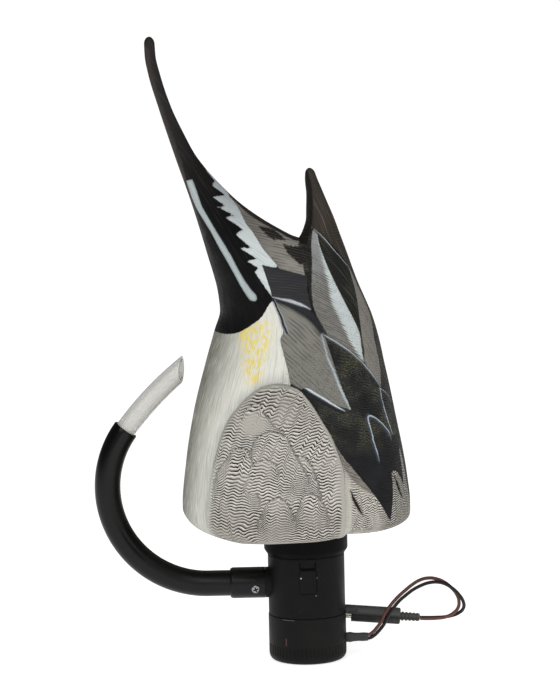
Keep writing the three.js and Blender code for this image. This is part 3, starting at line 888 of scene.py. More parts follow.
# Outlines are pairs of the distance round the body and the height, in millimetres. They reach past the
# middle lines, at distance 0, where the mirrored half carries on. Two borders are shared by two areas each.
RUMP_BORDER = (
    (50.1, 376.3), (54.9, 369.2), (56.5, 361.7), (58.9, 354.1), (62.2, 349.5), (65.8, 342.6), (68.7, 336.4),
    (72.2, 331.7), (75.8, 327), (78.6, 323.1))
TERTIAL_BORDER = (
    (29.1, 345.2), (31.3, 339.4), (33.9, 331), (36, 323.5), (37.9, 315.2), (39.5, 306.8), (40.8, 298.4),
    (41.8, 289.9), (42.7, 281.4), (43.4, 272.9), (44.3, 267.9))
AREAS = (
    Area("wing_side", (
        (101, 410), (101, 300), (106, 286), (122, 267), (95, 238), (90, 100), (420, 100), (420, 410),
    ), barbs=-16),
    Area("belly", (
        (-60, 269), (0, 269), (26, 269.3), (38, 269.4), (48.5, 271.3), (54, 274.3), (58.5, 278),
        (63.7, 282.6), (66.5, 288), (69, 293), (72.5, 296.8), (75, 290.6), (81, 280), (87.1, 272.4),
        (86.6, 266.5), (95.3, 255.2), (104.2, 244), (114, 232), (114, 90), (-60, 90),
    ), barbs=90, fan=(34, 390)),
    Area("yellow", (
        (50.2, 275), (57.2, 277), (65, 278.8), (70.6, 279), (76.9, 270.5), (79.6, 257.7), (81.5, 247.9),
        (85, 237), (80, 232), (73, 238.5), (66, 250), (58.5, 262), (51, 270))),
    Area("keel", (
        (-30, 500), (6, 500), (7, 476), (7, 450), (9, 426), (13, 398), (13.5, 364), (16, 348), (21.5, 334),
        (22, 319), (24, 307), (23, 295), (18, 284), (14, 275), (12, 262), (-30, 262)), barbs=80),
    Area("stripe", (
        (11.7, 390), (12, 377.4), (14.7, 368), (20.9, 358.8), (26.5, 350.4), (32.5, 337.3), (38.2, 326.5),
        (42.1, 318), (45.8, 309.5), (48.8, 304.1), (51.8, 299.5), (54.5, 296.4), (58.5, 295.6),
        (60.3, 297.5), (59.5, 301.5), (55.6, 305.7), (50.8, 313.5), (47, 322), (43.4, 331.3), (38.2, 341.3),
        (32.9, 351.4), (28.3, 360.7), (24.4, 368.5), (22.9, 374.7), (21.6, 382.4), (19.3, 391.2),
    ), curved=False),
    Area("white_patch", (
        (33.7, 397.1), (39.9, 388.3), (34.3, 386), (45.6, 377.4), (33.1, 376.6), (43.8, 369.2),
        (35.9, 368.8), (50, 361.7), (41.3, 361), (54.8, 351), (47.7, 347.9), (59.8, 336.4), (49.7, 337.6),
        (63.2, 328.3), (54.2, 327.2), (63.4, 321.5), (59.9, 318.6), (65.9, 307.7), (71.7, 299.1),
        (72.5, 299.4), (70.5, 306), (68.9, 312.2), (67.4, 319.8), (66.3, 322.9), (77.4, 320.9),
        *RUMP_BORDER[::-1], (62, 383), (62, 404), (37, 404)), barbs=-40, curved=False),
    Area("rump", (
        *RUMP_BORDER, (79, 320.5), (88.2, 317.5), (96.5, 315), (100.5, 313.3), (101, 338), (140, 341),
        (140, 395), (62, 390)), barbs=-14, curved=False),
    Area("rump_mark_upper", (
        (68.5, 353.2), (77.8, 351), (84.3, 349), (86.9, 345.2), (90.5, 341.2), (86, 341.6), (81.6, 342.8),
        (79.5, 341.6), (77, 343.6), (74.8, 344.3)), curved=False),
    Area("rump_mark_lower", (
        (85.6, 338.8), (92.4, 336.9), (112, 334.5), (112, 325), (101.5, 323.4), (98.5, 322), (96.5, 325),
        (93.7, 326.3), (91.5, 329.6), (88.5, 332)), curved=False),
    Area("slate", (
        (66.4, 323.7), (78.9, 320.1), (88.2, 317.3), (96.5, 314.9), (102, 313.2), (101, 303), (102, 296),
        (104.5, 287.5), (94.3, 291.2), (86.1, 295.2), (78, 297.4), (71.6, 298.6), (70.5, 306), (68.9, 312.2),
    ), lift=0.3, barbs=-8, curved=False),
    Area("slate_shadow", (
        (71.6, 298.6), (78, 297.4), (86.1, 295.2), (94.3, 291.2), (104.5, 286), (121, 270), (121, 267.5),
        (106.2, 279.4), (94.7, 286), (82.2, 292.8), (73.5, 296.2))),
    Area("rump_edge", (
        (50, 378), (54.8, 372.2), (62.7, 362.2), (73.9, 354.6), (84.2, 349), (93.8, 343.1), (101.1, 339.2),
        (120, 332), (120, 400), (50, 400))),
    Area("smooth_spot", (
        (85.9, 208), (91, 212), (97, 212), (107.3, 202.7), (105, 195.1), (97, 194), (89, 197))),
    Area("side_feather", (
        (75, 295.6), (80, 293.8), (86.2, 291.2), (94.7, 286.3), (104.9, 280), (114.6, 273.4),
        (121.6, 268.4), (132.5, 255.5), (142.7, 243.5), (153.7, 230.6), (164.2, 219), (170.9, 211.3),
        (159.7, 214.6), (145, 219.8), (131.1, 227), (120.3, 229.8), (110.8, 234), (104.2, 244),
        (95.3, 255.2), (86.6, 266.5), (87.1, 272.4), (81, 280), (75.6, 289.6),
    ), lift=0.55, barbs=-33, curved=False),
    Area("flank", (
        (121.1, 228.7), (111.8, 231.9), (105.6, 233.2), (99.4, 233.7), (94.2, 232.9), (88.8, 230.6),
        (84.6, 226), (80.9, 221.3), (77.9, 215), (73.6, 206.4), (71.8, 197.7), (70.8, 188.3), (70.3, 166.5),
        (70.8, 143), (71, 90), (184, 90), (184, 110), (184.4, 123), (184.9, 133), (183.8, 142.4),
        (181, 152), (179, 161.1), (174.9, 170.8), (168.1, 181.5), (158.5, 194.6), (149.1, 204),
        (140.1, 213.3), (131.2, 221)), lift=2.42, edge=3.4, barbs=-5),
    Area("tertial", (
        (33.4, 346), (42.2, 332), (53.6, 315.2), (62.8, 302.2), (68.9, 290.7), (71.2, 281.6), (71, 275),
        (70.9, 268), (66.9, 263.6), (62.6, 259.2), (58.9, 254.6), (55.6, 249.4), (53.2, 245), (52.4, 247.5),
        (51, 252.3), (47.2, 261.3), *TERTIAL_BORDER[::-1], (30.7, 349.3),
    ), Chart.BACK, lift=0.5, barbs=-35, curved=False),
    Area("tertial_band", (
        (29, 348), (31.2, 340.2), (38.4, 323.5), (42.2, 315.2), (45.6, 306.9), (50.4, 298.5), (53, 290.1),
        (54, 281.8), (54.9, 273.4), (56.1, 265), (55.4, 256.6), (54.1, 247), (48, 247), (38, 262),
        (32, 300), (24, 345)), Chart.BACK),
    Area("tertial_dark", (
        *TERTIAL_BORDER, (46.4, 262.5), (44.6, 264.5), (41.2, 271), (36.8, 279.9), (28.8, 291.8),
        (21.8, 303.1), (17, 314.7), (16.5, 322.6), (19.9, 332.5), (22.9, 339.9), (25.5, 345.3),
    ), Chart.BACK, lift=0.3, barbs=-76, curved=False),
    Area("grey_strip", (
        (16.5, 322.6), (17, 314.7), (21.8, 303.1), (28.8, 291.8), (36.8, 279.9), (42.5, 268.6),
        (47.6, 255.6), (52, 248), (51.5, 241), (47.2, 232), (43.4, 226.5), (34, 237.4), (30.7, 245.6),
        (29.2, 254.1), (26.9, 262.5), (20.4, 272.1), (14.8, 280.2), (12.4, 287.8), (12.4, 300),
        (13.6, 313.2), (15.4, 320)), Chart.BACK, lift=0.25, barbs=-82, curved=False),
    Area("wing_front", (
        (8.3, 396), (10.4, 386.1), (13.4, 379.9), (18.9, 369.9), (26.4, 358.7), (33.6, 348.6), (39.8, 341),
        (42.5, 337.5), (48, 337.5), (60, 340), (90, 342), (90, 400)), Chart.BACK, curved=False),
    Area("wing_tip", (
        (-40, 314), (9.5, 320), (15.8, 322.6), (19.9, 331.8), (22.9, 339.2), (25.5, 345.6), (30.7, 348.6),
        (60, 352), (60, 410), (-40, 410)), Chart.BACK, barbs=82, curved=False),
    Area("mantle", (
        (112.3, 221), (110.4, 213.3), (107.3, 204), (103.9, 194.6), (101.6, 183.6), (98.1, 174.1),
        (93.2, 165.8), (88.1, 156.7), (82.1, 147.4), (76.1, 137.9), (71.2, 129.3), (66.1, 121.4),
        (63.6, 130.6), (59.3, 141.9), (56.4, 152.4), (56, 157.2), (54, 160.1), (50.4, 160.4), (46, 158),
        (41.5, 153.4), (37.6, 146), (35.5, 152), (33, 161), (31.5, 171), (27.5, 176), (25.5, 160),
        (24, 140), (15, 120), (15, 90), (125, 90), (125, 221)), Chart.BACK, barbs=-20, curved=False),
    Area("mantle_patch", (
        (106, 196), (103, 188), (101.6, 183.6), (98.1, 174.1), (93.2, 165.8), (86, 154), (78, 141),
        (80, 144), (88, 149.3), (96.6, 157.5), (101.2, 168.4), (103.5, 180),
    ), Chart.BACK, barbs=-32, curved=False),
)


@dataclass(frozen=True)
class Stroke:
    """One thin painted line: the points of its path on a chart, each with the line's half width there."""

    name: str
    path: Sequence[Place]
    chart: Chart = Chart.BELLY
    lift: float = 0.0

    def measure(self, points: Array) -> Array:
        """Measure where points lie beside the line.

        Args:
            points: One row for each point of the chart.

        Returns:
            For each point its distance to the line's left or right, and the line's half width beside it,
            which falls below zero past the ends.
        """
        nearest = np.full(len(points), np.inf)
        side, width = np.zeros(len(points)), np.full(len(points), -9.0)
        for first, second in zip(self.path, self.path[1:]):
            start, edge = np.array(first[:2]), np.subtract(second[:2], first[:2])
            length = math.hypot(*edge)
            offset = points - start
            along = offset @ edge / length**2
            share = np.clip(along, 0, 1)
            distance = np.hypot(*(offset - share[:, None] * edge).T)
            past = np.abs(along - share) * length
            closer = distance < nearest
            nearest = np.where(closer, distance, nearest)
            across = edge[0] * offset[:, 1] - edge[1] * offset[:, 0]
            side = np.where(closer, np.where(across < 0, -distance, distance), side)
            width = np.where(closer, first[2] * (1 - share) + second[2] * share - past, width)
        return np.stack([np.clip(side, -12, 12), np.clip(width, -9, 9), np.zeros(len(points))], -1)


STROKES = (
    Stroke("slate_line", (
        (71.7, 299.1, 0.0), (78.2, 297.3, 0.4), (86, 295.5, 0.95), (94.3, 292.4, 0.9), (99.4, 290.2, 0.4),
        (103.5, 288, 0.0))),
    Stroke("small_line", (
        (72.8, 296.6, 0.2), (76.8, 288.3, 0.4), (83.7, 277.7, 0.5), (90.4, 270.8, 0.3))),
    Stroke("side_margin", (
        (119.6, 269.3, 0.15), (125.2, 261.9, 0.25), (133.4, 251.3, 0.35), (143.4, 241.4, 0.5),
        (152.8, 230.6, 0.65), (161.7, 221.4, 0.75), (167, 216.5, 0.75), (171, 211.8, 0.3))),
    Stroke("side_hem", (
        (124, 230.3, 0.0), (127.5, 228.8, 0.5), (133, 226.2, 0.65), (139.8, 223, 0.6), (150.1, 218, 0.5),
        (158.3, 214.1, 0.4), (165.8, 210.8, 0.05)), lift=0.3),
    Stroke("tertial_hem", (
        (75, 269.2, 0.2), (72, 266.9, 0.6), (67.5, 263.2, 0.65), (62.9, 258.7, 0.6), (59.3, 254.5, 0.55),
        (56.5, 250, 0.4), (54.3, 246.5, 0.25), (50.5, 238.6, 0.4), (46.4, 229.5, 0.35), (44.4, 225.8, 0.1),
    ), Chart.BACK, 0.2),
    Stroke("tip_line", (
        (30, 349.4, 0.35), (26.5, 344.4, 0.4), (24.5, 338.4, 0.5), (22.6, 330.6, 0.45), (18.5, 321.5, 0.35),
        (15.4, 318.2, 0.05)), Chart.BACK),
    Stroke("front_vee_left", (
        (64.6, 205.4, 0.7), (66.8, 204.2, 0.7), (67, 201, 0.7), (66.9, 197, 0.6), (67.2, 187.7, 0.55),
        (66.9, 178.3, 0.5), (67, 169.5, 0.05)), Chart.BACK, 0.3),
    Stroke("front_vee_right", (
        (65.6, 205.3, 0.6), (62.8, 204.9, 0.6), (58.1, 202.7, 0.5), (52.1, 197.7, 0.4), (47.9, 192.1, 0.35),
        (45.6, 187.5, 0.1)), Chart.BACK, 0.3),
    Stroke("back_vee_left", (
        (46.5, 225.2, 0.4), (49.3, 216.6, 0.4), (49.5, 209.7, 0.4), (46.5, 200.7, 0.45), (44.1, 193.3, 0.4),
        (42.6, 183.5, 0.05)), Chart.BACK, 0.2),
    Stroke("back_vee_right", (
        (46.5, 225.2, 0.3), (37.3, 221, 0.22), (28.1, 216.2, 0.18), (23.9, 211.2, 0.1)), Chart.BACK),
    Stroke("mantle_ridge", (
        (101, 154.6, 0.5), (95.9, 152.9, 0.8), (90.2, 150.2, 0.8), (86.2, 145.5, 0.8), (82.1, 141.2, 0.7),
        (78.5, 133.4, 0.3)), Chart.BACK, 0.4),
    Stroke("front_slit", (
        (100.2, 150.6, 0.1), (98.9, 143.5, 1.0), (97.2, 138.5, 1.2), (95.4, 134.2, 0.8), (93.4, 129.4, 0.0),
    ), Chart.BACK, -1.2),
    Stroke("back_slit", (
        (51.9, 156.8, 0.1), (49.4, 150.6, 1.4), (47.2, 145, 1.6), (45.4, 140.6, 1.1), (44, 136.8, 0.0),
    ), Chart.BACK, -1.0),
)


@dataclass(frozen=True)
class Scale:
    """One carved feather of the flank: the line of its upper edge, and how low it can be told apart."""

    edge: Sequence[Point]
    fade: float
    shift: float


# From the feathers that lie under to those that lie over
SCALES = (
    Scale((
        (86, 214), (90, 217.4), (94.8, 218.6), (100.6, 211.8), (107.2, 205.8), (114.5, 200.4),
        (121.7, 196.6)), 190, 0.6),
    Scale((
        (136, 170), (138.3, 178.8), (144.2, 177.2), (150.3, 170.9), (155.1, 163.1), (160, 153.8), (165, 140),
    ), 138, 1.1),
    Scale((
        (99, 160), (100.2, 179.8), (102.2, 191.3), (105.8, 195.1), (110.7, 197.4), (118.4, 195.9),
        (125.4, 192.7), (131, 185.1), (137.2, 177.3), (143.5, 170.3), (149.9, 161.8), (154.7, 154),
        (159.4, 144.6)), 146, 0.4),
    Scale((
        (76, 164), (82.5, 175), (85.5, 181.5), (90.5, 184.8), (96.7, 183.5), (103, 176), (107.9, 164.5),
        (112.7, 153), (117.4, 141.5), (119.6, 129.8)), 138, 1.4),
    Scale((
        (102, 150), (103.2, 168.3), (107.2, 174.5), (115.5, 176), (123, 171.5), (127.5, 164.5), (128.8, 150),
    ), 152, 0.9),
    Scale((
        (146, 134), (149, 146), (154.2, 150), (160.9, 146.5), (167.3, 138.5), (171, 130)), 122, 0.7),
    Scale((
        (116, 129), (118.8, 133.5), (122.9, 143.5), (128.8, 147.3), (136, 144), (141.5, 136), (146, 126),
    ), 120, 1.2),
)


@dataclass
class Plumage:
    """The painted areas and the carving, worked out at each point of the body."""

    areas: Sequence[Area] = AREAS
    ripple_pitch: float = 2.45
    mantle_pitch: float = 1.9
    ripple_depth: float = 0.62
    wave_length: float = 8.0
    scales: Sequence[Scale] = SCALES
    strokes: Sequence[Stroke] = STROKES
    steepest: float = 25.0
    bow: float = 0.6
    reach: float = 25.0
    plain_barbs: float = -62.0
    whole_round: float = 300.0
    fan_length: float = 150.0
    fan_tip: float = 20.0
    seeds: tuple[int, int, int] = (3, 7, 11)

    def measure(self, around: Array, back: Array, height: Array) -> dict[str, Array]:
        """Work out what the materials and the relief read.

        Args:
            around: Distance round the body from the belly line.
            back: Distance round the body from the back line.
            height: Height above the foot.

        Returns:
            The distance inside each area by its name, the ripple height, the place round the body and the
            barbs.
        """
        charts = {Chart.BELLY: np.stack([around, height], -1), Chart.BACK: np.stack([back, height], -1)}
        found: dict[str, Array] = {}
        turn = np.full(len(height), math.radians(self.plain_barbs))
        level = around.copy()
        for area in self.areas:
            outline = softened(area.outline) if area.curved else area.outline
            inside = signed_distance(charts[area.chart], outline)
            found[area.name] = np.clip(inside, -self.reach, self.reach)
            if area.barbs is not None:
                turn = np.where(inside > 0, math.radians(area.barbs), turn)
                flat = around if area.chart is Chart.BELLY else self.whole_round - back
                if area.fan:
                    spread = self.fan_length / np.maximum(area.fan[1] - height, self.fan_tip)
                    flat = (flat - area.fan[0]) * spread
                level = np.where(inside > 0, flat, level)
        for stroke in self.strokes:
            found[stroke.name] = stroke.measure(charts[stroke.chart])
        found |= self.ripples(around, height)
        found["round"] = np.clip(around, 0, 320)
        along = level * np.cos(turn) + height * np.sin(turn)
        across = height * np.cos(turn) - level * np.sin(turn)
        found["barbs"] = np.stack([along, across, np.zeros_like(along)], -1)
        return found

    def ripples(self, around: Array, height: Array) -> dict[str, Array]:
        """Work out the ripples' height, bent over each carved feather, and where the feathers' edges are, for
        the painted shadow above each edge and the painted highlight inside it.

        Args:
            around: Distance round the body from the belly line.
            height: Height above the foot.

        Returns:
            Each measure by the name that the material reads.
        """
        drift, swell, strength = (ValueNoise(seed) for seed in self.seeds)
        shifted = around + 8 * drift(around / 24, height / 28) + 3 * swell(around / 9, height / 8)
        wave = np.sin(2 * math.pi * shifted / self.wave_length)
        wave = wave * (0.15 + 1.35 * strength(around / 14, height / 10))
        second = shifted + 3 * strength(around / 8, height / 9)
        second = np.sin(2 * math.pi * second / (0.57 * self.wave_length))
        plain = height + wave + 0.7 * second * drift(around / 10, height / 12)
        plain += 5 * (swell(around / 24, height / 22) - 0.5)
        ripple, rise = plain.copy(), np.zeros_like(plain)
        # shade places the painted shadow above each feather's edge, rim the painted highlight inside it.
        shade, rim = np.full_like(plain, 25.0), np.full_like(plain, 25.0)
        for scale in self.scales:
            line = np.array(scale.edge)
            edge_height = np.interp(around, line[:, 0], line[:, 1], left=-99, right=-99)
            further = np.interp(around + 0.5, line[:, 0], line[:, 1], left=-99, right=-99)
            steep = np.abs(edge_height - further) * 2
            depth = (edge_height - height) / np.hypot(1, np.minimum(steep, 12))
            clear = smooth_step(height, scale.fade - 4, scale.fade + 20)
            drop = np.clip(line[:, 1].max() - edge_height, 0, self.steepest)
            below = np.exp(-np.clip(edge_height - height, 0, None) / (10 + drop))
            inside = (depth > 0) & (clear > 0.02)
            ripple = np.where(inside, plain + clear * (scale.shift + self.bow * drop * below), ripple)
            step = smooth_step(depth, -0.3, 0.5) * np.exp(-np.clip(depth, 0, None) / 6) * clear
            rise = np.maximum(rise * (depth < 0), 0) + step
            shade = np.where(inside, 12 * depth + 6 * (1 - clear), np.where(
                depth < 0, np.minimum(shade, 6 * (1 - clear) - depth), shade))
            rim = np.where(inside, depth + 6 * (1 - clear), rim)
        return {"ripple": ripple, "scale_edge": np.clip(shade, 0, 25), "scale_rim": rim, "scale_rise": rise}

    def relief(self, found: dict[str, Array], height: Array) -> Array:
        """Work out how far each point stands out of the plain body.

        Args:
            found: What measure returned.
            height: Height above the foot.

        Returns:
            Millimetres outwards.
        """
        total = np.zeros(len(height))
        for area in self.areas:
            if area.lift:
                total += area.lift * smooth_step(found[area.name], -area.edge / 2, area.edge / 2)
        total *= smooth_step(height, 109, 125)
        pitch = np.where(found["flank"] > 0, self.ripple_pitch, self.mantle_pitch)
        groove = 0.5 - 0.5 * np.cos(2 * math.pi * found["ripple"] / pitch)
        flank = smooth_step(found["flank"], 1.0, 6.0)
        flank = flank * (1 - 0.85 * smooth_step(found["smooth_spot"], -2.5, 2.5))
        total += 0.4 * found["scale_rise"] * flank
        mantle = smooth_step(found["mantle"], 0.5, 3.0) * (1 - smooth_step(found["flank"], -2.0, 0.0))
        dark = smooth_step(found["wing_side"], 6.0, 14.0) * (1 - flank) * smooth_step(height, 270, 240)
        plain = smooth_step(height, 114, 124)
        total -= groove * plain * self.ripple_depth * (flank + 0.5 * mantle + 0.3 * dark * (1 - mantle))
        for stroke in self.strokes:
            if stroke.lift:
                beside, width = found[stroke.name][:, 0], found[stroke.name][:, 1]
                total += stroke.lift * smooth_step(width - np.abs(beside), -0.8, 0.5)
        return total


@dataclass
class DecoyBody:
    """The moulded body: a deep rounded trunk that draws out into the tail, with the folded wing behind it."""

    floor: float = 110.0
    rim: float = 11.0
    tail_top: float = 503.25
    tail_rounding: float = 6.0
    wing_top: float = 396.9
    wing_rounding: float = 4.0
    wing_foot: float = 181.0
    wing_clear: float = 2.7
    blend: float = 5.0
    fork: float = 337.5
    saddle: float = 341.5
    fork_clear: float = 343.5
    underside_rise: float = 3.4
    belly_rise: float = 6.4
    rim_sag: HeightCurve = HeightCurve(
        (-98, -0.4), (-85, -1.3), (-36, -1.4), (-12, -0.8), (6, -0.2), (16, 0.7), (25, 1.9), (35, 1.1),
        (46, 0.5), (60, 0), (90, 0))
    far_chart: float = 400.0
    axis_shift: float = 10.0
    axis_low: float = 300.0
    axis_rise: float = 30.0
    ray_start: float = 140.0
    tail_ray_start: float = 59.0
    inner_edge: float = 45.0
    outer_edge: float = 70.0
    half_columns: int = 160
    bridge_columns: int = 9
    seam: float = 246.0
    belly: HeightCurve = HeightCurve(
        (110, -98.2), (128, -98.2), (166, -94.3), (205, -87.2), (243, -77), (269, -69.2), (285, -64.4),
        (297, -65.4), (333, -74.2), (372, -85.3), (410, -97.7), (448, -109.4), (474, -116.6), (488, -118.9),
        (504, -119.3))
    back: HeightCurve = HeightCurve(
        (110, 84.4), (128, 84.6), (149, 82.7), (181, 77.6), (201, 73.2), (220, 68.8), (240, 63.5), (265, 55),
        (290, 44), (310, 31.5), (325, 18.5), (338, 4.5), (345, -8.7), (358, -30.2), (371, -47.3),
        (384, -60.4), (397, -71.9), (410, -81.3), (423, -88), (448, -99.2), (474, -107.2), (488, -110.2),
        (504, -110.9))
    widest: HeightCurve = HeightCurve(
        (110, -7), (180, -8), (225, -13), (265, -23), (300, -36), (333, -53.5), (360, -69.5), (390, -85.8),
        (417, -95.8), (448, -106.2), (470, -112), (488, -114.6), (504, -115.1))
    half: HeightCurve = HeightCurve(
        (110, 88), (128, 88), (166, 84.5), (205, 77), (240, 66.5), (265, 56.5), (290, 47.5), (310, 42),
        (333, 35), (350, 29), (372, 21), (390, 15), (405, 10.8), (423, 7.8), (448, 5.8), (488, 4.6),
        (504, 4.2))
    squareness: HeightCurve = HeightCurve(
        (110, 2.5), (205, 2.3), (265, 1.9), (300, 1.7), (340, 1.5), (400, 1.35), (450, 1.4), (490, 1.9),
        (504, 2))
    side_squareness: HeightCurve = HeightCurve((110, 2.5), (205, 2.3), (265, 2), (504, 2))
    wing_front: HeightCurve = HeightCurve(
        (180, 72), (215, 50), (240, 32), (258, 22), (275, 14), (290, 9), (310, 6), (325, 2), (338, -1),
        (344, 1.5), (350, 4), (357, 5.8), (363, 6), (376, 6.4), (388, 5.6), (397, 6.2))
    wing_back: HeightCurve = HeightCurve(
        (180, 73), (201, 71.5), (220, 69), (240, 65.6), (253, 63.5), (266, 60.6), (279, 56.8), (292, 51.6),
        (305, 46.2), (318, 41.6), (331, 37.2), (344, 32.6), (357, 28.1), (370, 22.8), (382, 18), (389, 15.2),
        (397, 12.6))
    wing_half: HeightCurve = HeightCurve(
        (180, 30), (215, 50), (240, 49), (265, 43.5), (285, 38.5), (300, 34.5), (320, 27.5), (338, 21),
        (350, 17.2), (363, 13.6), (376, 10), (388, 6.6), (397, 4.4))

    def sections(self, height: Array) -> dict[str, Array]:
        """Return the widths of the trunk and of the wing at each height.

        Args:
            height: The heights.

        Returns:
            Each measure of a section by its name.
        """
        tail = self._end(height, self.tail_top, self.tail_rounding)
        wing = self._end(height, self.wing_top, self.wing_rounding)
        middle = (self.belly(height) + self.back(height)) / 2
        wing_middle = (self.wing_front(height) + self.wing_back(height)) / 2
        grown = smooth_step(height, self.wing_foot, self.wing_foot + 8)
        return {
            "low": middle + (self.belly(height) - middle) * tail,
            "high": middle + (self.back(height) - middle) * tail,
            "wide": middle + (self.widest(height) - middle) * tail,
            "half": self.half(height) * tail,
            "p": self.squareness(height),
            "q": self.side_squareness(height),
            "wing_middle": wing_middle,
            "wing_reach": (self.wing_back(height) - self.wing_front(height)) / 2 * wing,
            "wing_half": self.wing_half(height) * wing,
            "wing_gone": np.where(height > self.wing_top, 50, 14 * (1 - grown)),
        }

    @staticmethod
    def _end(height: Array, top: float, rounding: float) -> Array:
        """Return how much of a section is left near a rounded tip."""
        into = np.clip((height - (top - rounding)) / rounding, 0, 0.9996)
        return np.sqrt(1 - into**2)

    def outside(self, x: Array, y: Array, cut: dict[str, Array]) -> Array:
        """Return about how far points lie outside the body, with the wing blended into the trunk.

        Args:
            x: Their places along X.
            y: Their places along Y.
            cut: The sections at their heights.

        Returns:
            Millimetres, negative inside.
        """
        reach = np.where(x < cut["wide"], cut["wide"] - cut["low"], cut["high"] - cut["wide"])
        share = (np.abs(x - cut["wide"]) / reach) ** cut["p"] + (np.abs(y) / cut["half"]) ** cut["q"]
        trunk = (share ** (2 / (cut["p"] + cut["q"])) - 1) * np.minimum(reach, cut["half"])
        wing = np.hypot((x - cut["wing_middle"]) / cut["wing_reach"], y / cut["wing_half"])
        wing = (wing - 1) * np.minimum(cut["wing_reach"], cut["wing_half"]) + cut["wing_gone"]
        h = np.clip(0.5 + 0.5 * (wing - trunk) / self.blend, 0, 1)
        return wing * (1 - h) + trunk * h - self.blend * h * (1 - h)

    def cast(self, axis: Array, turn: Array, height: Array, start: float | None) -> Array:
        """Find the body's outer surface along level rays.

        Args:
            axis: Where on the X axis the rays start.
            turn: Their directions, in radians.
            height: Their heights.
            start: A radius that lies outside the body, or None to start just outside the wing.

        Returns:
            The radius at which each ray leaves the body.
        """
        axis, turn, level = np.broadcast_arrays(axis, turn, height)
        cut = {name: np.broadcast_to(v, axis.shape) for name, v in self.sections(np.asarray(height)).items()}
        cos, sin = np.cos(turn), np.sin(turn)
        coarse_steps, fine_steps = 60, 20
        if start is None:
            radius = 1 / np.hypot(cos / cut["wing_reach"], sin / cut["wing_half"]) + self.wing_clear
        else:
            radius = np.full(axis.shape, float(start))
        stride = radius / coarse_steps
        found = np.zeros(axis.shape, bool)
        for _ in range(coarse_steps):
            found |= self.outside(axis + cos * radius, sin * radius, cut) < 0
            radius = np.where(found, radius, radius - stride)
        inner, outer = radius, radius + stride
        for _ in range(fine_steps):
            middle = (inner + outer) / 2
            within = self.outside(axis + cos * middle, sin * middle, cut) < 0
            inner, outer = np.where(within, middle, inner), np.where(within, outer, middle)
        return np.maximum((inner + outer) / 2, 0)

    def half_rings(
        self, heights: Array, axis: Array, segments: int, start: float | None
    ) -> tuple[Array, Array]:
        """Make half rings round the -Y side, from the belly side to the back, evenly spaced.

        Args:
            heights: The rings' heights.
            axis: Where on the X axis each ring is seen from.
            segments: How many steps each half ring has.
            start: A radius that lies outside the body, or None to start just outside the wing.

        Returns:
            The points, and how far round each lies.
        """
        samples = 300
        turn = np.linspace(math.pi, 2 * math.pi, samples + 1)
        level, centre = heights[:, None], axis[:, None]
        reach = self.cast(centre, turn[None, :], level, start)
        x, y = centre + np.cos(turn) * reach, np.sin(turn) * reach
        lengths = np.cumsum(np.hypot(np.diff(x), np.diff(y)), 1)
        gone = np.concatenate([np.zeros((len(heights), 1)), lengths], 1)
        share = np.linspace(0, 1, segments + 1)
        around = gone[:, -1:] * share
        angle = np.stack([np.interp(a, g, turn) for a, g in zip(around, gone)])
        reach = self.cast(centre, angle, level, start)
        x, y = centre + np.cos(angle) * reach, np.sin(angle) * reach
        y[:, 0] = y[:, -1] = 0
        return np.stack([x, y, np.broadcast_to(level, x.shape)], -1), around

    def trunk_heights(self) -> Array:
        """Return the heights of the trunk's rings, close together where the flank is carved.

        Returns:
            The heights, from low to high.
        """
        rim = self.floor + self.rim * (1 - np.cos(np.linspace(0, math.pi / 2, 10)[:-1]))
        carved = np.arange(self.floor + self.rim, self.seam, 0.425)
        plain = np.linspace(self.seam, self.fork, 84)
        return np.concatenate([rim, carved, plain])

    def shape(self) -> tuple[Array, list[Face], Array]:
        """Make the body's points and faces.

        Returns:
            The points, the faces, and for each point its distances from the belly line and the back line.
        """
        columns, bridge = self.half_columns, self.bridge_columns
        heights = self.trunk_heights()
        axis = self.axis_shift * np.clip((heights - self.axis_low) / self.axis_rise, 0, 1)
        trunk, around = self.half_rings(heights, axis, columns, self.ray_start)
        down = np.clip((self.floor + self.rim - heights) / self.rim, 0, 1)
        inset = self.rim * (1 - np.sqrt(1 - down**2))
        self._pull_in(trunk, inset)
        whole = around[:, -1:]
        last = trunk[-1]
        near_fork = np.abs(last[:, 1]) + np.where((last[:, 0] > -20) & (last[:, 0] < 28), 0, 99)
        split = int(near_fork.argmin())

        store = PointStore()
        rows = [store.mirrored(ring, a, w - a) for ring, a, w in zip(trunk, around, whole)]
        faces = [f for low, high in zip(rows, rows[1:]) for f in between(low, high)]
        faces += self._underside(store, rows[0])

        front, rear = rows[-1][: split + 1], rows[-1][len(rows[-1]) - split:]
        across = self._saddle(store, last[split], around[-1, split], bridge)
        low = front + across + rear
        rounded = self.tail_rounding * (np.sin(np.linspace(0.2, math.pi / 2, 8)) - 1)
        plain = np.linspace(self.fork_clear, self.tail_top - self.tail_rounding, 86)
        tail_heights = np.concatenate([plain, self.tail_top + rounded])
        tail_axis = self.widest(tail_heights) + 1
        tail, gone = self.half_rings(tail_heights, tail_axis, split + bridge, self.tail_ray_start)
        far = np.full_like(gone, self.far_chart)
        tail_rows = [store.mirrored(r, a, f) for r, a, f in zip(tail, gone, far)]
        faces += self._branch(store, low, tail_rows, (1, 0))

        side = rows[-1][split: len(rows[-1]) - split + 1]
        low = across[bridge - 1::-1] + side + across[:bridge - 1:-1]
        rounded = self.wing_rounding * (np.sin(np.linspace(0.25, math.pi / 2, 6)) - 1)
        plain = np.linspace(self.fork_clear, self.wing_top - self.wing_rounding, 34)
        wing_heights = np.concatenate([plain, self.wing_top + rounded])
        wing_axis = (self.wing_front(wing_heights) + self.wing_back(wing_heights)) / 2
        wing, gone = self.half_rings(wing_heights, wing_axis, bridge + columns - split, None)
        far = np.full_like(gone, self.far_chart)
        wing_rows = [store.mirrored(r, f, a[-1] - a) for r, a, f in zip(wing, gone, far)]
        faces += self._branch(store, low, wing_rows, (0, 1))
        return np.array(store.points), faces, np.array(store.charts)

